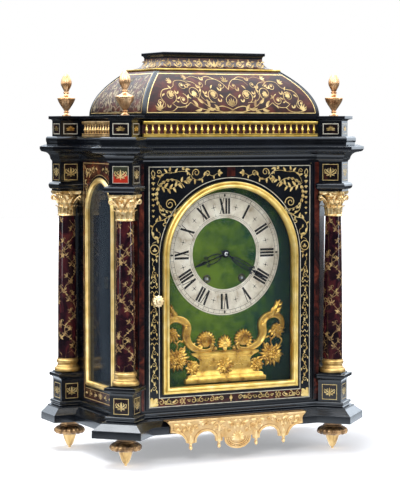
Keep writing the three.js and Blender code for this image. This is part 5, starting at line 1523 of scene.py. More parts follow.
def stile_vine(top, bottom):
    """the running vine of a stile: small scrolls in turn, broken by ogee brackets"""
    pieces, brackets, middle = [], (262.0, 184.0), 129.2
    spans, at = [], top
    for bracket in brackets:
        spans.append((at, bracket + 8))
        at = bracket - 8
    spans.append((at, bottom))
    for high, low in spans:
        count = max(2, round((high - low) / 16.5))
        step = (high - low) / count
        for k in range(count):
            v, way = high - (k + 0.5) * step, 1 if k % 2 else -1
            pieces += [tapered(scroll_path((middle + way * 0.8, v), 4.7, 1.3, 90, way * 430, 18), 0.85, 0.5),
                       leaf((middle + way * 0.8, v + 4.7), 90 + way * 40, 5.8, 2.3, -way * 50, 6),
                       leaf((middle - way * 3.0, v - 3.0), -90 - way * 30, 5.6, 2.3, way * 44, 6),
                       leaf((middle + way * 4.8, v - 1.0), -90 + way * 20, 4.6, 2.0, -way * 20, 5)]
            if k < count - 1:
                pieces.append(tapered(bent_path([(middle - way * 3.9, v - 1.6), (middle - way * 2.0, v - step * 0.5),
                                                 (middle + way * 2.6, v - step * 0.62)], 4), 0.9, 0.8))
    for bracket in brackets:
        for flip in (-1, 1):
            pieces.append(strip(bent_path([(middle - 6.4, bracket + flip * 5.0), (middle - 3.4, bracket + flip * 2.2),
                                           (middle, bracket + flip * 5.6), (middle + 3.4, bracket + flip * 2.2),
                                           (middle + 6.4, bracket + flip * 5.0)], 5), 0.8))
    return pieces


def foot_scrolls():
    """the band under the glass: leaf corners, brackets and a row of scrolls and beads"""
    pieces = []
    for u in (118, 104, 64, 50, 33):
        way = 1 if u in (118, 64, 33) else -1
        pieces += [tapered(scroll_path((u, 91.0), 5.0, 1.4, 90, way * 430, 18), 1.1, 0.6),
                   leaf((u - 4.6, 90.0), 170, 7.4, 3.0, way * 40, 6),
                   leaf((u + 4.6, 92.0), -10, 6.4, 2.8, way * 40, 6)]
    pieces.append(tapered(bent_path([(112, 88.0), (96, 87.6), (90, 91.0), (94.0, 94.6)], 5), 1.0, 0.7))
    for flip in (-1, 1):
        pieces += [strip(bent_path([(80, 91 + flip * 5.2), (77.6, 91 + flip * 3.0), (82.4, 91 + flip * 1.6),
                                    (78.6, 91)], 4), 0.8),
                   strip(bent_path([(84.6, 91 + flip * 5.2), (82.2, 91 + flip * 3.4), (86.8, 91 + flip * 1.8),
                                    (84, 91)], 4), 0.8)]
    pieces += [disc((71.0, 91), 2.0, 8), disc((57.0, 91), 1.6, 8), disc((41.5, 91), 2.4, 10), disc((25.0, 91), 1.8, 8)]
    pieces += [tapered(scroll_path((16.0, 91.0), 4.4, 1.2, 0, 430, 18), 1.0, 0.6),
               leaf((21.0, 92.0), 20, 6.6, 2.4, -40, 6)]
    return pieces


half_drawing = spandrel() + stile_vine(292, 104) + foot_scrolls()
middle_drawing = [disc((0, 91), 2.6, 10), leaf((0, 93.4), 90, 3.2, 1.8, 0, 5), leaf((0, 88.6), -90, 3.2, 1.8, 0, 5)]
inlay("door_scrolls", door_place, half_drawing + turned_over(half_drawing) + middle_drawing, fine_brass,
      "front_door", rise=0.14)

corner_brass = new_finish("corner_leaf_brass", (0.92, 0.68, 0.24), 0.42, metallic=0.3)
mottle(corner_brass, "Base Color", 120, [(0.3, (0.66, 0.42, 0.12)), (0.5, (0.90, 0.66, 0.22)),
                                         (0.75, (1.0, 0.84, 0.42))])
leaf_turns = np.linspace(93, 177, 57)
leaf_reach = 17.5 * (1 - 0.24 * np.abs(leaf_turns - 135) / 42) * (0.62
                                                                  + 0.38 * np.abs(np.cos(np.radians(leaf_turns
                                                                                - 135) * 5.4)) ** 0.6)
corner_leaves = [plate([(136.6, 84.9)] + [(136.6 + r * math.cos(math.radians(a)), 84.9 + r * math.sin(math.radians(a)))
                                          for a, r in zip(leaf_turns, leaf_reach)])]
inlay("door_corner_leaves", door_place, corner_leaves + turned_over(corner_leaves), corner_brass, "front_door",
      rise=0.2)

# The gilt frame of the glass: a brass moulding of two bright bands with a hollow between, bent to
# the arch, mitred at the foot and pinned to the door, with a thin rebate that holds the pane.
bezel_gilt = new_finish("bezel_gilt", (0.82, 0.60, 0.20), 0.4, metallic=0.72)
mottle(bezel_gilt, "Base Color", 60, [(0.3, (0.66, 0.44, 0.10)), (0.5, (0.82, 0.60, 0.19)),
                                      (0.75, (0.95, 0.76, 0.34))], detail=4)
mottle(bezel_gilt, "Roughness", 70, [(0.3, 0.34), (0.75, 0.46)])
bezel_section = [(0.0, -0.02), (0.0, 3.6), (0.35, 4.4), (1.1, 4.9), (2.0, 5.0), (2.9, 4.5), (3.3, 3.9), (4.0, 5.4),
                 (4.9, 7.0), (5.8, 7.7), (6.8, 7.98), (7.8, 7.6), (8.6, 6.4), (9.2, 5.2), (9.7, 4.4), (10.0, 3.4),
                 (10.0, -0.02)]
points, faces = arched_moulding(115.5, 103.0, arch_spring, bezel_section, door_place, 64)
shown_piece("door_frame_moulding", points, faces, bezel_gilt, "front_door", "gilt", smooth=50)
points, faces = arched_moulding(107.5, 111.0, arch_spring, [(0, 0.5), (2.0, 0.5), (2.0, -2.98), (0, -2.98)],
                                door_place, 48)
shown_piece("door_frame_rebate", points, faces, bright_gilt, "front_door", "gilt", smooth=0, replaces=("door_bezel",))
door_pane = new_finish("door_glass", (0.30, 0.34, 0.36), 0.03, Specular_IOR_Level=0.2, Alpha=0.025)
mottle(door_pane, "Roughness", 20, [(0.4, 0.02), (0.7, 0.07)])
nodes["door_glass"].data.materials[0] = door_pane

# The door knob: a cast gilt rosette with a button in front, on a turned neck; its spindle passes
# through the stile to the latch behind.
knob_x, knob_z = -126.0, 245.0


def laid_forward(part, x, z, front):
    """a turned part laid so that its axis runs out to the front"""
    return [(px + x, front - pz, py + z) for px, py, pz in part[0]], part[1]


def along_y(rings, x, z, front):
    """turned rings laid so that their axis runs out to the front"""
    return [[(px + x, front - pz, py + z) for px, py, pz in ring] for ring in rings]


knob_profile = round_profile([
    (0.02, 0.3), (6.2, 0.3), (6.2, 0.3), (6.2, 1.0), (5.2, 1.7), (4.0, 2.4), (3.6, 4.0), (4.2, 5.6), (4.2, 5.6),
    (7.6, 6.2), (9.2, 7.2), (9.4, 8.2), (8.4, 9.4), (6.4, 10.2), (5.4, 10.4), (5.4, 10.4), (5.3, 11.6), (4.3, 13.2),
    (2.4, 13.9), (0.02, 14.0),
], 4)
knob_lobes = [2.0 if 5.5 < z < 10.3 and r > 5 else (0.6 if z > 10.4 else 0) for r, z in knob_profile]
shown_piece("door_knob_rosette", *stacked_rings(along_y(turned_rings(knob_profile, 72, 12, knob_lobes), knob_x,
                                                        knob_z, front_wall)),
            pale_gilt, "door_knob", "gilt", smooth=50)
spindle = round_profile([(0.02, -16.0), (2.0, -16.0), (2.0, -16.0), (2.0, 1.0), (2.0, 1.0), (0.02, 1.0)])
shown_piece("door_knob_spindle", *laid_forward(lathe(spindle, 20), knob_x, knob_z, front_wall),
            sawn_brass, "door_knob", "brass", smooth=50)
cam_outline = [(-3, 3), (-3, -20), (-2.2, -22.4), (0, -23.0), (2.2, -22.4), (3, -20), (3, 3)]
cam_rings = [[(knob_x + u, y, knob_z + v) for u, v in cam_outline] for y in (-64.04, -61.3)]
shown_piece("door_latch_cam", *stacked_rings(cam_rings), sawn_brass, "door_knob", "brass", smooth=0,
            replaces=("door_knob",))

# The dial: a plate covered in green velvet with a mottled nap, its green painted darker and bluer from
# the middle out to its edges as painted shade of the bezel; it stands on the ledge of the case behind the glass.
velvet = new_finish("green_velvet", (0.04, 0.13, 0.012), 0.92, Sheen_Weight=0.1, Sheen_Roughness=0.5,
                    Sheen_Tint=(0.3, 0.6, 0.2, 1), Specular_IOR_Level=0.1)
velvet_place, velvet_shift, velvet_shade_reach, velvet_noise, velvet_mix, velvet_shade_ramp = new_nodes(
    velvet.node_tree, "TexCoord", "Mapping", "VectorMath", "TexNoise", "Math", "ValToRGB")
tune(velvet_shift, {"Location": (0.035, 0, -0.146), "Scale": (1, 0, 0.55)})
tune(velvet_noise, {"Scale": 85, "Detail": 7})
tune(velvet_mix, {1: 0.2})
velvet_shade_reach.operation, velvet_mix.operation = "LENGTH", "MULTIPLY_ADD"
# painted shade: with distance from the middle, the ramp turns the green dark and bluish towards the edges of the dial,
# where the bezel shades it
set_ramp(velvet_shade_ramp, [
    (0.115, (0.095, 0.165, 0.012)), (0.145, (0.060, 0.118, 0.010)), (0.175, (0.034, 0.085, 0.012)),
    (0.212, (0.009, 0.042, 0.017)), (0.25, (0.003, 0.022, 0.018)),
])
wire(velvet.node_tree, (velvet_place, "Object", velvet_shift, "Vector"), (velvet_shift, "Vector", velvet_shade_reach, 0),
     (velvet_place, "Object", velvet_noise, "Vector"), (velvet_noise, "Fac", velvet_mix, 0),
     (velvet_shade_reach, "Value", velvet_mix, 2), (velvet_mix, 0, velvet_shade_ramp, "Fac"),
     (velvet_shade_ramp, "Color", velvet.node_tree.nodes["Principled BSDF"], "Base Color"))
grain_bump(velvet, 1400, 0.9, 0.0004, detail=3)
nodes["dial_plate"].data.materials[0] = velvet
dial_y, dial_centre_z = -53.366, 311.0

# The hour ring: brass turned flat, engraved, filled with black wax and silvered; the silvering has
# yellowed and spotted. Hours in Roman numerals, minutes between two lines at the edge.
silvered = new_finish("old_silvering", (0.74, 0.69, 0.56), 0.5, metallic=0.12)
mottle(silvered, "Base Color", 55, [
    (0.28, (0.36, 0.29, 0.19)), (0.42, (0.60, 0.54, 0.42)), (0.58, (0.74, 0.69, 0.56)), (0.75, (0.85, 0.82, 0.71)),
], detail=9, distort=0.4)
mottle(silvered, "Roughness", 70, [(0.3, 0.62), (0.7, 0.38)])
grain_bump(silvered, 900, 0.3, 0.00008)
ring_outer, ring_inner, ring_back = 94.8, 55.0, dial_y - 0.02


def circle(sides):
    return [i / sides * 2 * math.pi for i in range(sides)]


def ring_levels(section, sides, z=dial_centre_z, x=0.0):
    """a ring turned about the axis of the dial: its section closes on itself, (radius, y)"""
    return looped_rings([[(x + radius * math.cos(a), y, z + radius * math.sin(a)) for a in circle(sides)]
                         for radius, y in section])


ring_front = ring_back - 1.5
shown_piece("hour_ring", *ring_levels([
    (ring_outer, ring_back), (ring_outer, ring_front + 0.35), (ring_outer - 0.4, ring_front),
    (ring_inner + 0.4, ring_front), (ring_inner, ring_front + 0.35), (ring_inner, ring_back),
], 144), silvered, "case", "silvered", smooth=30, replaces=("chapter_ring",))
black_wax = new_finish("black_wax", (0.006, 0.006, 0.007), 0.6, Specular_IOR_Level=0.15)
mottle(black_wax, "Base Color", 300, [(0.3, (0.003, 0.003, 0.004)), (0.75, (0.016, 0.014, 0.014))])


def dial_point(radius, clock_angle):
    """a point of the dial, its angle in degrees round from twelve"""
    a = math.radians(90 - clock_angle)
    return radius * math.cos(a), dial_centre_z + radius * math.sin(a)


def round_line(radius, width):
    """a fine line engraved round the ring"""
    near, far, turns = radius - width / 2, radius + width / 2, [i * 2.5 for i in range(145)]
    return [plate([dial_point(near, a), dial_point(near, b), dial_point(far, b), dial_point(far, a)])
            for a, b in zip(turns, turns[1:])]


def on_ring(strokes, clock_angle, foot):
    """strokes drawn upright, x across and y up from the foot, set radially on the ring"""
    a = math.radians(90 - clock_angle)
    c, s = math.cos(a), math.sin(a)
    return [plate([((foot + y) * c + x * s, dial_centre_z + (foot + y) * s - x * c) for x, y in stroke])
            for stroke in strokes]


def bar(x0, y0, x1, y1, width):
    """a stroke between two heights"""
    return [(x0 - width / 2, y0), (x0 + width / 2, y0), (x1 + width / 2, y1), (x1 - width / 2, y1)]


numeral_tall, thick, thin = 24.0, 3.5, 1.15


def serif(x, y, half, way):
    return [(x - half, y), (x + half, y), (x + half, y + way * 0.7), (x - half, y + way * 0.7)]


def numeral(text):
    """a Roman numeral as strokes, centred: thick and thin bars with fine serifs"""
    widths = {"I": 4.7, "V": 10.2, "X": 10.0}
    strokes, at = [], -sum(widths[c] for c in text) / 2
    for letter in text:
        middle = at + widths[letter] / 2
        if letter == "I":
            strokes += [bar(middle, 0, middle, numeral_tall, thick), serif(middle, 0, 1.9, 1),
                        serif(middle, numeral_tall, 1.9, -1)]
        elif letter == "V":
            strokes += [bar(middle, 0, middle - 3.1, numeral_tall, thick),
                        bar(middle + 0.3, 0, middle + 3.4, numeral_tall, thin),
                        serif(middle - 3.1, numeral_tall, 1.9, -1), serif(middle + 3.4, numeral_tall, 1.5, -1)]
        else:
            strokes += [bar(middle + 3.0, 0, middle - 3.0, numeral_tall, thick),
                        bar(middle - 3.0, 0, middle + 3.0, numeral_tall, thin)]
            strokes += [serif(middle + s * 3.0, y, 1.6, 1 if y == 0 else -1) for s in (-1, 1)
                        for y in (0, numeral_tall)]
        at += widths[letter]
    return strokes


minute_inner, minute_outer = 87.2, 92.6
engraving = []
for line_radius, line_width in ((minute_outer, 0.5), (minute_inner, 0.5), (59.4, 0.45), (57.2, 0.35)):
    engraving += round_line(line_radius, line_width)
for minute in range(60):
    engraving += on_ring([bar(0, 0, 0, minute_outer - minute_inner, 0.42 if minute % 5 else 0.9)], minute * 6,
                         minute_inner)
engraving += [disc(dial_point(89.9, quarter * 90 + 0.001), 1.7, 12) for quarter in range(4)]
for k, text in enumerate(("XII", "I", "II", "III", "IIII", "V", "VI", "VII", "VIII", "IX", "X", "XI")):
    engraving += on_ring(numeral(text), k * 30, 61.4)
for half_hour in range(12):
    angle = half_hour * 30 + 15
    engraving += on_ring([bar(0, -4.6, 0, 4.6, 0.6), [(-4.0, -0.3), (4.0, -0.3), (4.0, 0.3), (-4.0, 0.3)],
                          [(-1.5, 0), (0, -1.5), (1.5, 0), (0, 1.5)]], angle, 73.5)
    engraving += on_ring([bar(0, 0, 0, 3.2, 0.35)], angle, 59.4)
inlay("hour_ring_engraving", flat_place((0, ring_front, 0), (1, 0, 0)), engraving, black_wax, "case",
      rise=0.03, sink=0.1)

# Winding holes: turned collets, their brass gone black, in the dial round the ends of the winding
# squares, which are polished steel.
black_brass = new_finish("blackened_brass", (0.02, 0.017, 0.013), 0.4, metallic=0.5)
mottle(black_brass, "Base Color", 200, [(0.35, (0.008, 0.007, 0.006)), (0.75, (0.06, 0.045, 0.025))])
winding_x, winding_z = 30.0, 273.0
for name, x in (("left", -winding_x), ("right", winding_x)):
    shown_piece(f"winding_collet_{name}", *ring_levels([
        (6.6, dial_y - 0.02), (6.4, dial_y - 0.5), (5.6, dial_y - 1.0), (4.9, dial_y - 0.8), (4.3, dial_y - 0.2),
        (4.25, dial_y - 0.02),
    ], 40, winding_z, x), black_brass, "case", "brass", smooth=50)
steel = new_finish("polished_steel", (0.60, 0.60, 0.62), 0.32, metallic=0.7)
mottle(steel, "Base Color", 150, [(0.3, (0.34, 0.33, 0.33)), (0.7, (0.72, 0.72, 0.74))])
mottle(steel, "Roughness", 120, [(0.3, 0.22), (0.75, 0.45)])
grain_bump(steel, 500, 0.2, 0.0001)
for name in ("left", "right"):
    nodes[f"winding_arbor_{name}"].data.materials[0] = steel

# The mount under the dial: a gilt-bronze casting, chased, pinned through the velvet. A moulded
# plinth with rosettes carries a shell between two leafy volutes, and at each side a broad channelled
# scroll that ends in a coil, with a spray on its top and a drop of leaves below.
mount_y = dial_y - 0.02
strap_section = [(-1, 0), (-1, 0.5), (-0.88, 0.92), (-0.66, 1.0), (-0.44, 0.6), (0, 0.5),
                 (0.44, 0.6), (0.66, 1.0), (0.88, 0.92), (1, 0.5), (1, 0)]


def raised(outline, depth, crown=0.0, inset=0.5, middle=None):
    """a cast form from an outline: straight sides, a rounded edge and a crowned face"""
    line = np.array(outline, float)
    centre = line.mean(axis=0) if middle is None else np.array(middle, float)
    size = np.abs(line - centre).max()
    levels = [(1.0, 0.0), (1.0, depth * 0.62), (1 - 0.35 * inset / size, depth * 0.86), (1 - inset / size, depth)]
    if crown:
        levels += [(0.62, depth + crown * 0.62), (0.28, depth + crown * 0.93), (0.05, depth + crown)]
    return stacked_rings([[(u, -d, v) for u, v in centre + (line - centre) * share] for share, d in levels])


def lobed(u, v, radius, lobes, dip, depth, crown, sides=None):
    """a leafy boss: lobes round a domed middle"""
    sides = sides or lobes * 8
    out = []
    for i in range(sides):
        a = i / sides * 2 * math.pi
        r = radius * (1 - dip * (1 - abs(math.cos(a * lobes / 2)) ** 0.7))
        out.append((u - r * math.sin(a), v + r * math.cos(a)))
    return raised(out, depth, crown, radius * 0.16, (u, v))


def cast_leaf(base, heading, length, width, curl, depth=1.1, lift=2.2, standing=0.0, tiers=8):
    """a chased leaf in relief: a raised midrib, notched edges, its tip curled forward"""
    across = 5
    share = np.linspace(0, 1, tiers)
    angle = math.radians(heading) + math.radians(curl) * share
    path = np.array(base, float) + np.vstack([[0, 0], np.cumsum(
        np.stack([np.cos(angle[:-1]), np.sin(angle[:-1])], 1) * length / (tiers - 1), axis=0)])
    side = np.stack([-np.sin(angle), np.cos(angle)], 1)
    front, back = [], []
    for i, s in enumerate(share):
        half = width / 2 * (math.sin(math.pi * (0.3 + 0.68 * s ** 0.8)) ** 0.7) * (1 + 0.15 * math.cos(s * math.pi * 6))
        rise = standing + lift * math.sin(math.pi * min(1.0, s * 0.92 + 0.06))
        for j in range(across):
            t = j / (across - 1) * 2 - 1
            u, v = path[i] + side[i] * half * t
            d = rise * (1 - 0.5 * t * t) + depth * (1 - abs(t)) * 0.6
            front.append((u, -max(0.25, d), v))
            back.append((u, -max(0.02, d - depth), v))
    return thin_casting(front, back, tiers, across)


def round_point(u, v, radius, degrees, tall=None):
    """a point round another, on a circle or on an upright or lying oval"""
    return u + radius * math.cos(math.radians(degrees)), v + (tall or radius) * math.sin(math.radians(degrees))


def cast_strap(path, widths, tall):
    """a strap in relief along a curve: rounded edges that stand above a channel"""
    path = np.asarray(path, float)
    share = np.linspace(0, 1, len(path))
    widths = np.interp(share, np.linspace(0, 1, len(widths)), widths)
    ahead = np.gradient(path, axis=0)
    side = np.stack([-ahead[:, 1], ahead[:, 0]], 1) / np.linalg.norm(ahead, axis=1, keepdims=True)
    return stacked_rings([[(u + su * w * t / 2, -0.02 - tall * h, v + sv * w * t / 2) for t, h in strap_section]
                          for (u, v), (su, sv), w in zip(path, side, widths)])


def cast_stem(points, radii, out):
    """a round stem in relief along (u, v) points"""
    path = bent_path(points, 5)
    radii = np.interp(np.linspace(0, 1, len(path)), np.linspace(0, 1, len(radii)), radii)
    return round_bar([(u, -max(out, r) - 0.05, v) for (u, v), r in zip(path, radii)], radii, 6)


def cast_flower(u, v, radius, petals, stand, curl=12):
    """a flower head in relief: two rows of pointed petals round a bud"""
    parts = [lobed(u, v, radius * 0.72, petals, 0.12, stand * 0.5, stand * 0.3)]
    for row, (inner, long, up) in enumerate(((0.50, 0.50, 0.35), (0.18, 0.50, 0.85))):
        for k in range(petals):
            a = (k + row * 0.5) * 360 / petals
            way = np.array([math.cos(math.radians(a)), math.sin(math.radians(a))])
            parts.append(cast_leaf(np.array([u, v]) + way * radius * inner, a, radius * long,
                                   radius * 2.9 / petals * (1.5 - row * 0.2), curl, 0.8, stand * 0.3, stand * up, 6))
    parts.append(lobed(u, v, radius * 0.19, 5, 0.2, stand * 1.15, 0.5, sides=20))
    return parts


def lifted(parts, out):
    """castings set further out"""
    return [([(x, y - out, z) for x, y, z in points], faces) for points, faces in parts]


def mirrored_part(part):
    points, faces = part
    return [(-x, y, z) for x, y, z in points], [tuple(reversed(face)) for face in faces]


def painted_hollow_shade(material, ground, face, colour):
    """gilding painted darker where the relief is low, as painted shade in its hollows: ground and face are heights
    along y
    """
    tree = material.node_tree
    place, split, span, blend = new_nodes(tree, "TexCoord", "SeparateXYZ", "MapRange", "Mix")
    shade = tree.nodes["Principled BSDF"].inputs["Base Color"]
    blend.data_type = "RGBA"
    tune(blend, {6: (*colour, 1)})
    tune(span, mapped(ground * MM, face * MM, 0, 1))
    tree.links.new(shade.links[0].from_socket, blend.inputs[7])
    wire(tree, (place, "Object", split, "Vector"), (split, "Y", span, "Value"), (span, "Result", blend, 0))
    tree.links.new(blend.outputs[2], shade)


mount_gilt = new_finish("mount_gilt", (0.80, 0.52, 0.13), 0.4, metallic=0.72)
mottle(mount_gilt, "Base Color", 95, [(0.30, (0.22, 0.10, 0.012)), (0.44, (0.50, 0.29, 0.045)),
                                      (0.70, (0.72, 0.48, 0.11))], detail=7)
mottle(mount_gilt, "Roughness", 120, [(0.3, 0.32), (0.75, 0.5)])
grain_bump(mount_gilt, 230, 0.6, 0.0005)
# painted shade: the gilt turns dark brown towards the plate, in the low parts of the casting
painted_hollow_shade(mount_gilt, mount_y - 0.4, mount_y - 3.4, (0.26, 0.11, 0.015))
plinth_levels = [
    (69.4, 113.6, 6.6), (69.4, 119.4, 7.0), (68.6, 120.4, 6.2), (65.6, 121.0, 5.6), (65.2, 124.6, 5.2),
    (63.0, 126.0, 4.4), (49.6, 127.2, 3.2), (46.4, 134.0, 3.1), (44.2, 141.0, 3.1), (43.6, 147.0, 3.2),
    (45.6, 150.6, 3.4), (50.4, 154.0, 4.2), (56.4, 156.8, 5.0), (57.8, 157.8, 5.4), (57.8, 159.4, 5.4),
    (56.4, 160.2, 4.6), (50.0, 160.8, 3.2), (48.0, 161.8, 2.4),
]
mount_parts = [stacked_rings([[(-w, 0, z), (-w, -d, z), (w, -d, z), (w, 0, z)] for w, z, d in plinth_levels])]
for k in range(-17, 18):
    mount_parts.append(lobed(k * 2.75, 155.0, 1.15, 3, 0, 4.9, 0.5, sides=6))
for row in range(3):
    for k in range(-8 + row, 9 - row):
        if abs(k * 5.0) > 15.5 - row:
            mount_parts.append(lobed(k * 5.0 + row % 2 * 2.5, 150.6 - row * 5.6, 1.5, 4, 0.2, 3.9 - row * 0.1, 0.5,
                                     sides=8))
mount_parts += lifted(cast_flower(0, 137.0, 14.6, 11, 3.6), 2.6)
for k in range(11):
    a = 90 + (k - 5) * 21
    mount_parts.append(cast_leaf((0, 170.4), a, 16.4 - abs(k - 5) * 0.85, 6.6, 0, 1.2, 2.4, 1.8, 8))
mount_parts += [lobed(0, 171.5, 4.6, 5, 0.16, 4.4, 1.2), lobed(0, 164.2, 3.4, 4, 0.1, 3.6, 0.8),
                lobed(0, 171.5, 7.4, 9, 0.1, 3.6, 0.8)]
half_parts = []
for u, v, radius, petals, stand, curl, out in (
        (55.6, 137.2, 12.4, 9, 3.8, 12, 1.8), (81.0, 156.0, 11.6, 9, 4.2, 8, 0),
        (90.6, 148.6, 8.6, 7, 3.4, 20, 2.0), (75.0, 146.6, 8.0, 7, 3.2, 50, 2.2)):
    half_parts += lifted(cast_flower(u, v, radius, petals, stand, curl), out)
for k in range(17):
    a = 118 + k * 18.5
    half_parts.append(cast_leaf(round_point(81.6, 152.4, 10.2, a, 9.4), a + 10 - k % 3 * 9,
                                9.4 + k % 2 * 2.6, 5.4, 26 - k % 2 * 52, 1.2, 2.2, 1.2, 7))
# the leafy volute: a coiled strap with a comb of leaves outside it
half_parts += [cast_strap(bent_path([(46, 163.2), (36, 162.8), (24.5, 164.5), (21.6, 172.0)], 5),
                          [3.0, 5.0, 6.0, 5.6], 3.4),
               cast_strap(scroll_path((32.2, 177.2), 10.6, 2.6, 190, -620, 48), [5.0, 4.2, 3.2, 2.4], 4.8),
               lobed(32.2, 176.6, 9.0, 9, 0.1, 2.4, 1.2)]
for k in range(14):
    a = -52 + k * 19.5
    half_parts.append(cast_leaf(round_point(32.2, 177.2, 9.4, a),
                                a + 26, 7.4, 5.4, -34, 1.1, 2.2, 2.0, 7))
half_parts += [cast_strap(scroll_path((15.6, 165.2), 3.4, 0.9, -60, 420, 20), [2.6, 2.0, 1.4], 3.0),
               lobed(15.6, 165.2, 2.2, 5, 0.1, 2.6, 0.6)]
# the broad scroll and its coil
half_parts += [cast_strap(bent_path([(38, 162.6), (47, 164.8), (55.5, 169.0), (61.6, 175.0), (65.2, 182.0),
                                     (66.0, 189.0), (64.8, 196.0), (65.4, 202.6), (69.4, 208.6), (76.0, 212.4),
                                     (84.0, 213.9), (91.4, 212.4), (97.0, 208.0), (99.8, 201.0), (99.4, 194.0),
                                     (96.6, 188.6)], 4),
                          [7.0, 9.8, 11.2, 12.6, 13.8, 14.2, 13.0, 11.4, 10.4, 9.6, 8.6, 7.4, 6.0], 4.6),
               cast_strap(scroll_path((90.2, 192.6), 9.2, 3.4, -25, -420, 36), [5.4, 4.2, 3.2, 2.4], 4.4)]
half_parts += lifted(cast_flower(90.0, 192.6, 8.4, 8, 4.4), 2.4)
for k in range(7):
    a = 200 + k * 26
    half_parts.append(cast_leaf(round_point(90.0, 192.0, 8.6, a), a, 7.4, 5.0, 30, 1.2, 2.0, 1.6, 7))
half_parts.append(lobed(66.6, 198.6, 3.6, 4, 0.12, 3.0, 1.4))
for u, v, heading, long, wide, curl, stand in (
        (82, 211, 66, 29, 10.5, -14, 2.6), (86, 214, 24, 16, 7.5, 30, 1.4), (89, 220, 12, 13, 6.0, 40, 1.6),
        (93, 227, 20, 10, 5.4, 34, 1.8), (84, 214, 104, 11, 6.5, -30, 1.4), (90, 224, 96, 12, 6.0, -24, 1.8),
        (56, 171, 150, 8, 5.0, -40, 0.8), (69, 202, 176, 8, 5.0, -50, 0.8), (44, 167, 150, 8, 5, -30, 0.8)):
    half_parts.append(cast_leaf((u, v), heading, long, wide, curl, 1.3, 2.4, stand, 9))
# the ribbons that tie the drop to the coil and to the plinth
for line in ([(88, 184), (86, 179), (83, 176.4), (80.4, 172), (83, 165)],
             [(70, 182), (73, 178.4), (77, 180), (81, 176.4)],
             [(67.4, 171), (71, 166.6), (74.6, 169), (78, 164)],
             [(92, 182), (96, 178), (100, 173), (97, 167), (92, 162)],
             [(46, 143.4), (51, 146.6), (56, 145.8), (62, 148.4), (70, 145.4)]):
    half_parts.append(cast_stem(line, [1.1, 1.5, 1.3, 1.0], 1.2))
for part in half_parts:
    mount_parts += [part, mirrored_part(part)]
mount_points, mount_faces = gathered(mount_parts)
shown_piece("dial_mount_casting", [(x, y + mount_y, z) for x, y, z in mount_points], mount_faces, mount_gilt, "case",
            "gilt", smooth=45, replaces=("dial_mount",))

# The hands: pierced and filed from steel and blued in the fire, at twenty past eight. The minute hand
# sits on a long arbor with a cut wheel and is held by a turned nut.
blued_steel = new_finish("blued_steel", (0.010, 0.012, 0.026), 0.3, metallic=0.85)
mottle(blued_steel, "Base Color", 90, [(0.35, (0.006, 0.007, 0.014)), (0.6, (0.014, 0.017, 0.04)),
                                       (0.8, (0.03, 0.028, 0.045))])
mottle(blued_steel, "Roughness", 90, [(0.3, 0.22), (0.75, 0.42)])
grain_bump(blued_steel, 500, 0.2, 0.0001)


def toothed(x, z, root, tip, count, front, back):
    """a wheel with cut teeth between two depths"""
    rim = [(x + r * math.cos(a), z + r * math.sin(a))
           for a, r in zip(circle(count * 4), (root, tip, tip, root) * count)]
    return stacked_rings([[(u, y, v) for u, v in rim] for y in (front, back)])


def hand_parts(drawing, clock_angle, back):
    """pieces drawn upright from the arbor, turned to the hour and given their thickness"""
    c, s = math.cos(math.radians(clock_angle)), math.sin(math.radians(clock_angle))
    return [stacked_rings([[(u * c + v * s, y, dial_centre_z - u * s + v * c) for u, v in outline]
                           for y in (back, back - 0.7)]) for outline, _ in drawing]


def hand_drawing(length, heavy, open_at):
    """a scrolled hand: tail, boss, two open scrolls and a leaf point"""
    right = [
        tapered(bent_path([(0.5, 0.14 * length), (heavy * 0.8, 0.24 * length), (heavy, open_at * length * 0.82),
                           (heavy * 0.55, open_at * length), (0.6, open_at * length * 0.92)], 5), 1.7, 0.7),
        tapered(scroll_path((heavy * 0.95, open_at * length * 1.06), heavy * 0.52, 0.7, -120, 430, 18), 1.5, 0.6),
        leaf((0.2, open_at * length * 1.1), 62, heavy * 1.1, 2.4, 40, 6),
    ]
    middle = [
        strip([(0, -0.13 * length), (0, -0.08 * length), (0, 0.0)], [0.8, 3.0, 2.4]),
        strip([(0, 0), (0, 0.45 * length), (0, 0.8 * length)], [2.4, 1.5, 1.9]),
        leaf((0, open_at * length * 1.02), 90, length * (0.995 - open_at * 1.02), heavy * 0.72, 0, 9),
        disc((0, 0), heavy * 0.78 + 1.2, 24),
    ]
    return middle + right + turned_over(right)


hour_drawing = hand_drawing(57.6, 6.4, 0.56)
parts = hand_parts(hour_drawing, 250, -57.62)
parts.append(ring_levels([(1.92, -57.7), (3.55, -57.7), (3.55, -44.7), (1.92, -44.7)], 32))
shown_piece("hour_hand_pierced", *gathered(parts), blued_steel, "hour_hand", "blued", smooth=40,
            replaces=("hour_hand",))
minute_drawing = hand_drawing(83.6, 4.8, 0.60)
parts = hand_parts(minute_drawing, 120, -58.7)
parts += [laid_forward(lathe(round_profile([
 (0.02, 0), (1.48, 0), (1.48, 0), (1.48, 72.1), (0.02, 72.1)
]), 24), 0, dial_centre_z, 12.65),
          toothed(0, dial_centre_z, 19.4, 20.95, 60, -21.6, -23.6)]
shown_piece("minute_hand_pierced", *gathered(parts), blued_steel, "minute_hand", "blued", smooth=40,
            replaces=("minute_hand",))
shown_piece("minute_hand_nut", *laid_forward(lathe(round_profile([
    (0.02, 0), (2.9, 0), (2.9, 0), (2.9, 1.1), (2.2, 1.8), (0.8, 2.05), (0.02, 2.1),
]), 32), 0, dial_centre_z, -59.42), steel, "minute_hand", "steel", smooth=40)

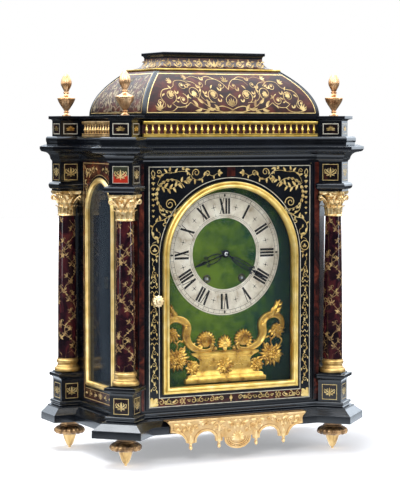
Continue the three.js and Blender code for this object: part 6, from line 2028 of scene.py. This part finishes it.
# The apron: a gilt lambrequin cast flat and chased, hung on the front of the base, with an ear at
# each end, four pendants, two arches and a middle lobe. Its top edge turns back over the slope.
apron_ground, apron_back, apron_top, apron_drop = -99.5, -96.99, 65.75, 49.5
arch_x, arch_z, lobe_z = 53.85, apron_top - 0.67 * apron_drop, apron_top - 0.66 * apron_drop
apron_gilt = new_finish("apron_gilt", (0.90, 0.64, 0.30), 0.38, metallic=0.5)
mottle(apron_gilt, "Base Color", 70, [(0.30, (0.58, 0.34, 0.11)), (0.46, (0.76, 0.52, 0.22)),
                                      (0.72, (0.88, 0.68, 0.38))], detail=6)
mottle(apron_gilt, "Roughness", 90, [(0.3, 0.32), (0.75, 0.5)])
grain_bump(apron_gilt, 380, 0.25, 0.0002)
# painted shade: the gilt turns brown where the apron's relief is low
painted_hollow_shade(apron_gilt, apron_ground + 0.6, apron_ground - 0.7, (0.52, 0.29, 0.11))


def apron_point(x, share):
    """a point of the outline, its height as a share of the drop from the top edge"""
    return x, apron_top - share * apron_drop


def half_ellipse(x, z, wide, tall, start, end, steps=16):
    return [(x + wide * math.cos(math.radians(a)), z + tall * math.sin(math.radians(a)))
            for a in np.linspace(start, end, steps)]


pendant_line = [apron_point(*point) for point in (
    (87, 0.71), (81.8, 0.74), (81.2, 0.79), (82.0, 0.86), (81.2, 0.92), (79.5, 0.95), (77.8, 0.92), (77.0, 0.86),
    (77.8, 0.79), (77.2, 0.74), (70.2, 0.72))]
inner_line = [apron_point(*point) for point in (
    (37.5, 0.72), (33.9, 0.74), (33.4, 0.79), (34.2, 0.86), (33.4, 0.92), (31.8, 0.95), (30.2, 0.92), (29.4, 0.86),
    (30.2, 0.79), (29.7, 0.74), (26, 0.72), (26, 0.62), (22.5, 0.62))]
ear_line = [apron_point(*point) for point in ((120, 0), (118, 0.06), (113.8, 0.14), (112.6, 0.22), (113.4, 0.37))]
shoulder_line = bent_path([ear_line[-1], apron_point(104, 0.395), apron_point(95, 0.46), apron_point(88, 0.58),
                           pendant_line[0]], 5)
arch_line = half_ellipse(arch_x, arch_z, 16.35, 13.37, 0, 180)
lobe_line = half_ellipse(0, lobe_z, 22.5, 16.83, 0, -180, 30)
right_line = ear_line + list(map(tuple, shoulder_line[1:])) + pendant_line[1:] + arch_line[1:-1] + inner_line
apron_line = right_line + lobe_line[1:-1] + [(-x, z) for x, z in reversed(right_line)]
apron_parts = [stacked_rings([[(x, 0.0, z) for x, z in apron_line],
                              [(x, apron_back - apron_ground, z) for x, z in apron_line]]),
               stacked_rings([[(x, 0, apron_top), (x, 13.0, apron_top), (x, 11.3, apron_top - 1.4),
                               (x, 0, apron_top - 1.4)]
                              for x in (-119.5, 119.5)]),
               cast_strap([(x, apron_top - 1.5) for x in np.linspace(-117, 117, 40)], [2.8], 1.3),
               cast_strap(half_ellipse(0, lobe_z, 20.9, 15.2, 2, -182, 36), [2.8], 1.3),
               cast_strap(half_ellipse(0, lobe_z, 14.2, 9.6, 10, -190, 30), [1.8], 1.1)]
for k in range(9):
    a = 90 + (k - 4) * 24
    apron_parts.append(cast_leaf((0, 31.5), a, 13.4 - abs(k - 4) * 0.7, 4.6, 0, 0.6, 0.9, 0.2, 7))
for k in range(13):
    a = math.radians(-6 - k * 14)
    apron_parts.append(lobed(17.6 * math.cos(a), 33.0 + 12.2 * math.sin(a), 0.95, 3, 0, 0.9, 0.3, sides=8))
apron_parts += [lobed(0, 30.6, 3.0, 5, 0.14, 0.9, 0.4), lobed(0, 52.0, 3.4, 6, 0.2, 0.9, 0.4)]
half_parts = [
    cast_strap([(x, z) for x, z in half_ellipse(arch_x, arch_z, 18.0, 15.0, -8, 188, 30)], [3.0], 1.35),
    cast_strap(bent_path([(111.6, 48.6), (104, 47.6), (95.4, 44.6), (89.2, 38.4), (85.6, 31.4)], 5), [2.6], 1.3),
    cast_strap([(35.9, 32.0), (35.9, 37.0), (35.9, 40.0)], [1.8], 1.2),
    cast_strap([(27.4, 31.6), (27.4, 35.0), (27.4, 41.0)], [1.8], 1.2),
]
for u, tip in ((79.5, 18.8), (31.8, 18.8)):
    half_parts += [lobed(u, 22.2, 2.3, 4, 0.05, 1.0, 0.7), lobed(u, 27.4, 1.9, 4, 0.05, 0.9, 0.5),
                   cast_leaf((u, 29.6), 90, 12.5, 6.4, 0, 0.7, 1.0, 0.2, 8)]
apron_scrolls = (
        (102.0, 55.0, 6.2, -60, 440, 2.2), (90.4, 53.2, 5.6, 200, -430, 2.2), (79.5, 45.6, 3.4, 90, 420, 1.6),
        (70.6, 53.4, 5.2, -30, 420, 2.0), (37.6, 53.6, 5.4, 210, -430, 2.0), (25.2, 50.4, 5.2, -20, 430, 2.0),
        (10.6, 53.6, 4.8, 220, -420, 1.8), (53.8, 58.0, 2.6, 90, 400, 1.3), (14.6, 43.6, 3.8, 30, 420, 1.6))
for u, v, size, start, turn, wide in apron_scrolls:
    half_parts.append(cast_strap(scroll_path((u, v), size, size * 0.22, start, turn, 26), [wide, wide * 0.55], 1.15))
for u, v, heading, long, wide, curl in (
        (108, 58, 160, 9, 4.0, 40), (96, 59, 200, 8, 3.6, -30), (97, 49, 20, 8, 3.6, 40), (86, 60, 190, 9, 4, 30),
        (84, 48, 120, 8, 3.6, -40), (75, 47, 60, 8, 3.6, 40), (66, 60, 170, 9, 3.8, -24), (60, 55, 90, 5, 3.2, 40),
        (45, 57, 150, 8, 3.8, 30), (31, 59, 190, 9, 3.8, -30), (32, 45, 90, 9, 4.0, 20), (21, 43, 110, 8, 3.6, -30),
        (18, 57, 180, 8, 3.6, 30), (5, 47, 60, 7, 3.4, 30), (6, 58, 150, 6, 3.2, 0), (104, 50, 150, 7, 3.2, -30),
        (92, 46, 100, 6, 3.0, 30), (40, 47, 60, 6, 3.0, 40)):
    half_parts.append(cast_leaf((u, v), heading, long, wide, curl, 0.6, 0.9, 0.2, 7))
for part in half_parts:
    apron_parts += [part, mirrored_part(part)]
graver_lines = [strip(scroll_path((u, v), size + wide * 0.62, size * 0.3, start, turn * 0.92, 26), 0.55)
                for u, v, size, start, turn, wide in apron_scrolls]
graver_lines += [strip(half_ellipse(arch_x, arch_z, 20.4, 17.4, 4, 176, 24), 0.6),
                 strip(bent_path([(110.4, 51.0), (103.4, 50.2), (94.0, 47.2), (87.4, 40.4), (84.4, 33.0)], 5), 0.55)]
for k in range(26):
    u, v = 9.0 + (k * 37 % 100), 60.8 - (k * 23 % 17)
    graver_lines.append(strip(bent_path([(u, v), (u + 2.2, v + 1.4), (u + 3.6, v - 0.6)], 3), 0.5))
graver_lines += turned_over(graver_lines)
graver_lines += [strip(half_ellipse(0, lobe_z, w, t, 8, -188, 30), 0.6)
                 for w, t in ((18.9, 13.4), (16.4, 11.2), (12.6, 8.0))]
graved_brown = new_finish("graved_lines", (0.30, 0.13, 0.04), 0.6)
mottle(graved_brown, "Base Color", 200, [(0.3, (0.16, 0.06, 0.02)), (0.7, (0.42, 0.20, 0.07))])
inlay("apron_graving", flat_place((0, apron_ground, 0), (1, 0, 0)), graver_lines, graved_brown, "case",
      rise=0.05, sink=0.3)
points, faces = gathered(apron_parts)
shown_piece("apron_casting", [(x, y + apron_ground, z) for x, y, z in points], faces, apron_gilt, "case", "gilt",
            smooth=40, replaces=("apron_mount",))

# The back door: a board of stained pear wood let in flush, its grain upright, turned with a small
# brass knob. It is plain, as the back of such a case stands against a wall.
stained_wood = new_finish("stained_pear_board", (0.020, 0.012, 0.009), 0.5, coat=0.05)
mottle(stained_wood, "Base Color", 60, [
    (0.32, (0.008, 0.005, 0.004)), (0.5, (0.018, 0.010, 0.008)), (0.72, (0.040, 0.023, 0.015)),
], detail=8, stretch=(1, 1, 0.06), distort=0.4)
mottle(stained_wood, "Roughness", 70, [(0.3, 0.38), (0.75, 0.6)], stretch=(1, 1, 0.08))
grain_bump(stained_wood, 260, 0.4, 0.00016, stretch=(1, 1, 0.05))
nodes["back_door"].data.materials[0] = stained_wood
back_knob_x, back_knob_z, back_knob_y = -124.6, 264.5, 126.5
back_knob = round_profile([
    (0.02, 14.0), (2.0, 14.0), (2.0, 14.0), (2.0, -0.3), (2.0, -0.3), (5.6, -0.32), (5.9, -0.9), (5.0, -1.6),
    (3.2, -2.2), (2.9, -3.0), (4.2, -3.8), (5.4, -4.6), (5.5, -5.2), (4.6, -5.8), (0.02, -6.0)], 4)
back_cam = [(-3, 3), (-3, -13.4), (-2.2, -15.4), (0, -16.0), (2.2, -15.4), (3, -13.4), (3, 3)]
shown_piece("back_door_turned_knob", *gathered([
    laid_forward(lathe(back_knob, 40), back_knob_x, back_knob_z, back_knob_y),
    stacked_rings([[(back_knob_x + u, y, back_knob_z + v) for u, v in back_cam] for y in (118.2, 115.4)]),
]), sawn_brass, "back_door_knob", "brass", smooth=40, replaces=("back_door_knob",))

# The movement: two brass plates on turned pillars behind the dial, grained upright with a stone,
# with domed nuts on the back plate. Two spring barrels with cut teeth turn on their steel arbors.
plate_brass = new_finish("grained_brass", (0.70, 0.50, 0.20), 0.34, metallic=1.0)
mottle(plate_brass, "Base Color", 40, [(0.3, (0.44, 0.29, 0.10)), (0.5, (0.68, 0.48, 0.19)),
                                       (0.75, (0.82, 0.63, 0.30))], detail=6)
mottle(plate_brass, "Roughness", 300, [(0.3, 0.26), (0.75, 0.46)], stretch=(1, 1, 0.05))
grain_bump(plate_brass, 900, 0.3, 0.00008, stretch=(1, 1, 0.04))
nodes["movement_frame"].data.materials[0] = plate_brass
nut_profile = round_profile([(0.02, 0.0), (4.6, 0.0), (4.6, 0.0), (4.6, -0.8), (3.4, -1.2), (3.4, -1.2), (3.3, -2.6),
                             (2.2, -3.4), (0.02, -3.6)], 3)
pillar_nut = lathe(nut_profile, 28)
shown_piece("pillar_nuts", *gathered([
    laid_forward(pillar_nut, x, z, 7.66) for x in (-47, 47) for z in (253, 362)
]), plate_brass, "case", "brass", smooth=40)
barrel_front = -37.35
drum = round_profile([
    (2.5, -0.0), (17.6, -0.0), (17.6, -0.0), (18.4, -0.6), (18.6, -1.4), (18.6, -1.4), (18.6, -33.6), (18.6, -33.6),
    (19.2, -34.0), (19.2, -34.8), (18.4, -38.0), (18.4, -38.0), (2.5, -38.0)], 2)
axle = round_profile([(0.02, 52.0), (2.38, 52.0), (2.38, 52.0), (2.38, -9.6), (2.38, -9.6), (0.02, -9.6)], 2)
square = [(-1.66, -1.66), (1.66, -1.66), (1.66, 1.66), (-1.66, 1.66)]
for name, x in (("left", -winding_x), ("right", winding_x)):
    shown_piece(f"spring_barrel_{name}", *gathered([
        laid_forward(lathe(drum, 56), x, winding_z, barrel_front),
        toothed(x, winding_z, 19.3, 20.95, 84, barrel_front + 34.8, barrel_front + 37.4),
    ]), plate_brass, f"winding_arbor_{name}", "brass", smooth=40)
    shown_piece(f"winding_square_{name}", *gathered([
        laid_forward(lathe(axle, 28), x, winding_z, 0.0),
        stacked_rings([[(x + u * s, y, winding_z + v * s) for u, v in square]
                       for s, y in ((1, -51.6), (1, -55.0), (0.8, -55.3))]),
    ]), steel, f"winding_arbor_{name}", "steel", smooth=40, replaces=(f"winding_arbor_{name}",))

# The bell: cast in bell metal and turned, on its post over the plates, with the steel hammer on an
# arbor of its own.
bell_metal = new_finish("bell_metal", (0.62, 0.50, 0.30), 0.28, metallic=1.0)
mottle(bell_metal, "Base Color", 50, [(0.3, (0.34, 0.24, 0.12)), (0.5, (0.60, 0.47, 0.27)),
                                      (0.75, (0.74, 0.64, 0.44))], detail=6)
mottle(bell_metal, "Roughness", 600, [(0.3, 0.22), (0.75, 0.38)], stretch=(0.1, 0.1, 1))
grain_bump(bell_metal, 800, 0.15, 0.00006, stretch=(0.1, 0.1, 1))
bell_profile = round_profile([
    (2.6, 412.0), (14.8, 411.6), (22.6, 408.4), (26.0, 401.0), (27.4, 395.0), (30.0, 392.0), (30.0, 392.0),
    (31.9, 392.2), (29.4, 396.0), (28.0, 401.9), (25.0, 410.0), (16.0, 413.9), (2.6, 414.0), (2.6, 414.0),
    (2.6, 412.0)], 5)
bell_y = -18.35
bell_rings = moved(turned_rings(bell_profile, 72), 0, bell_y)
shown_piece("turned_bell", *looped_rings(bell_rings[:-1]), bell_metal, "case", "brass", smooth=40, replaces=("bell",))
nodes["bell_hammer"].data.materials[0] = steel

# The pendulum: a lens-shaped brass bob on a steel rod, hung from a pin on the back cock by the eye at
# the top of the rod.
pendulum_y, pivot_z, bob_z = 12.65, 359.0, 201.0
bob_profile = round_profile([(0.02, 3.5), (5.0, 3.3), (10.5, 2.1), (14.4, 0.5), (14.95, 0.0), (14.4, -0.5),
                             (10.5, -2.1), (5.0, -3.3), (0.02, -3.5)], 4)
shown_piece("pendulum_bob", *laid_forward(lathe(bob_profile, 64), 0, bob_z, pendulum_y),
            plate_brass, "pendulum", "brass", smooth=50)
rod_profile = round_profile([(0.02, 182.2), (2.4, 182.2), (2.4, 182.2), (2.4, 185.2), (1.2, 185.8), (1.2, 185.8),
                             (1.2, 354.6), (0.02, 354.6)], 3)
eye_levels = [(1.65, -2.0), (3.9, -2.0), (3.9, 2.0), (1.65, 2.0)]
pendulum_eye = ring_levels([(radius, pendulum_y + out) for radius, out in eye_levels], 32, pivot_z)
shown_piece("pendulum_rod", *gathered([set_down(lathe(rod_profile, 20), 0, pendulum_y), pendulum_eye]), steel,
            "pendulum", "steel", smooth=40, replaces=("pendulum",))
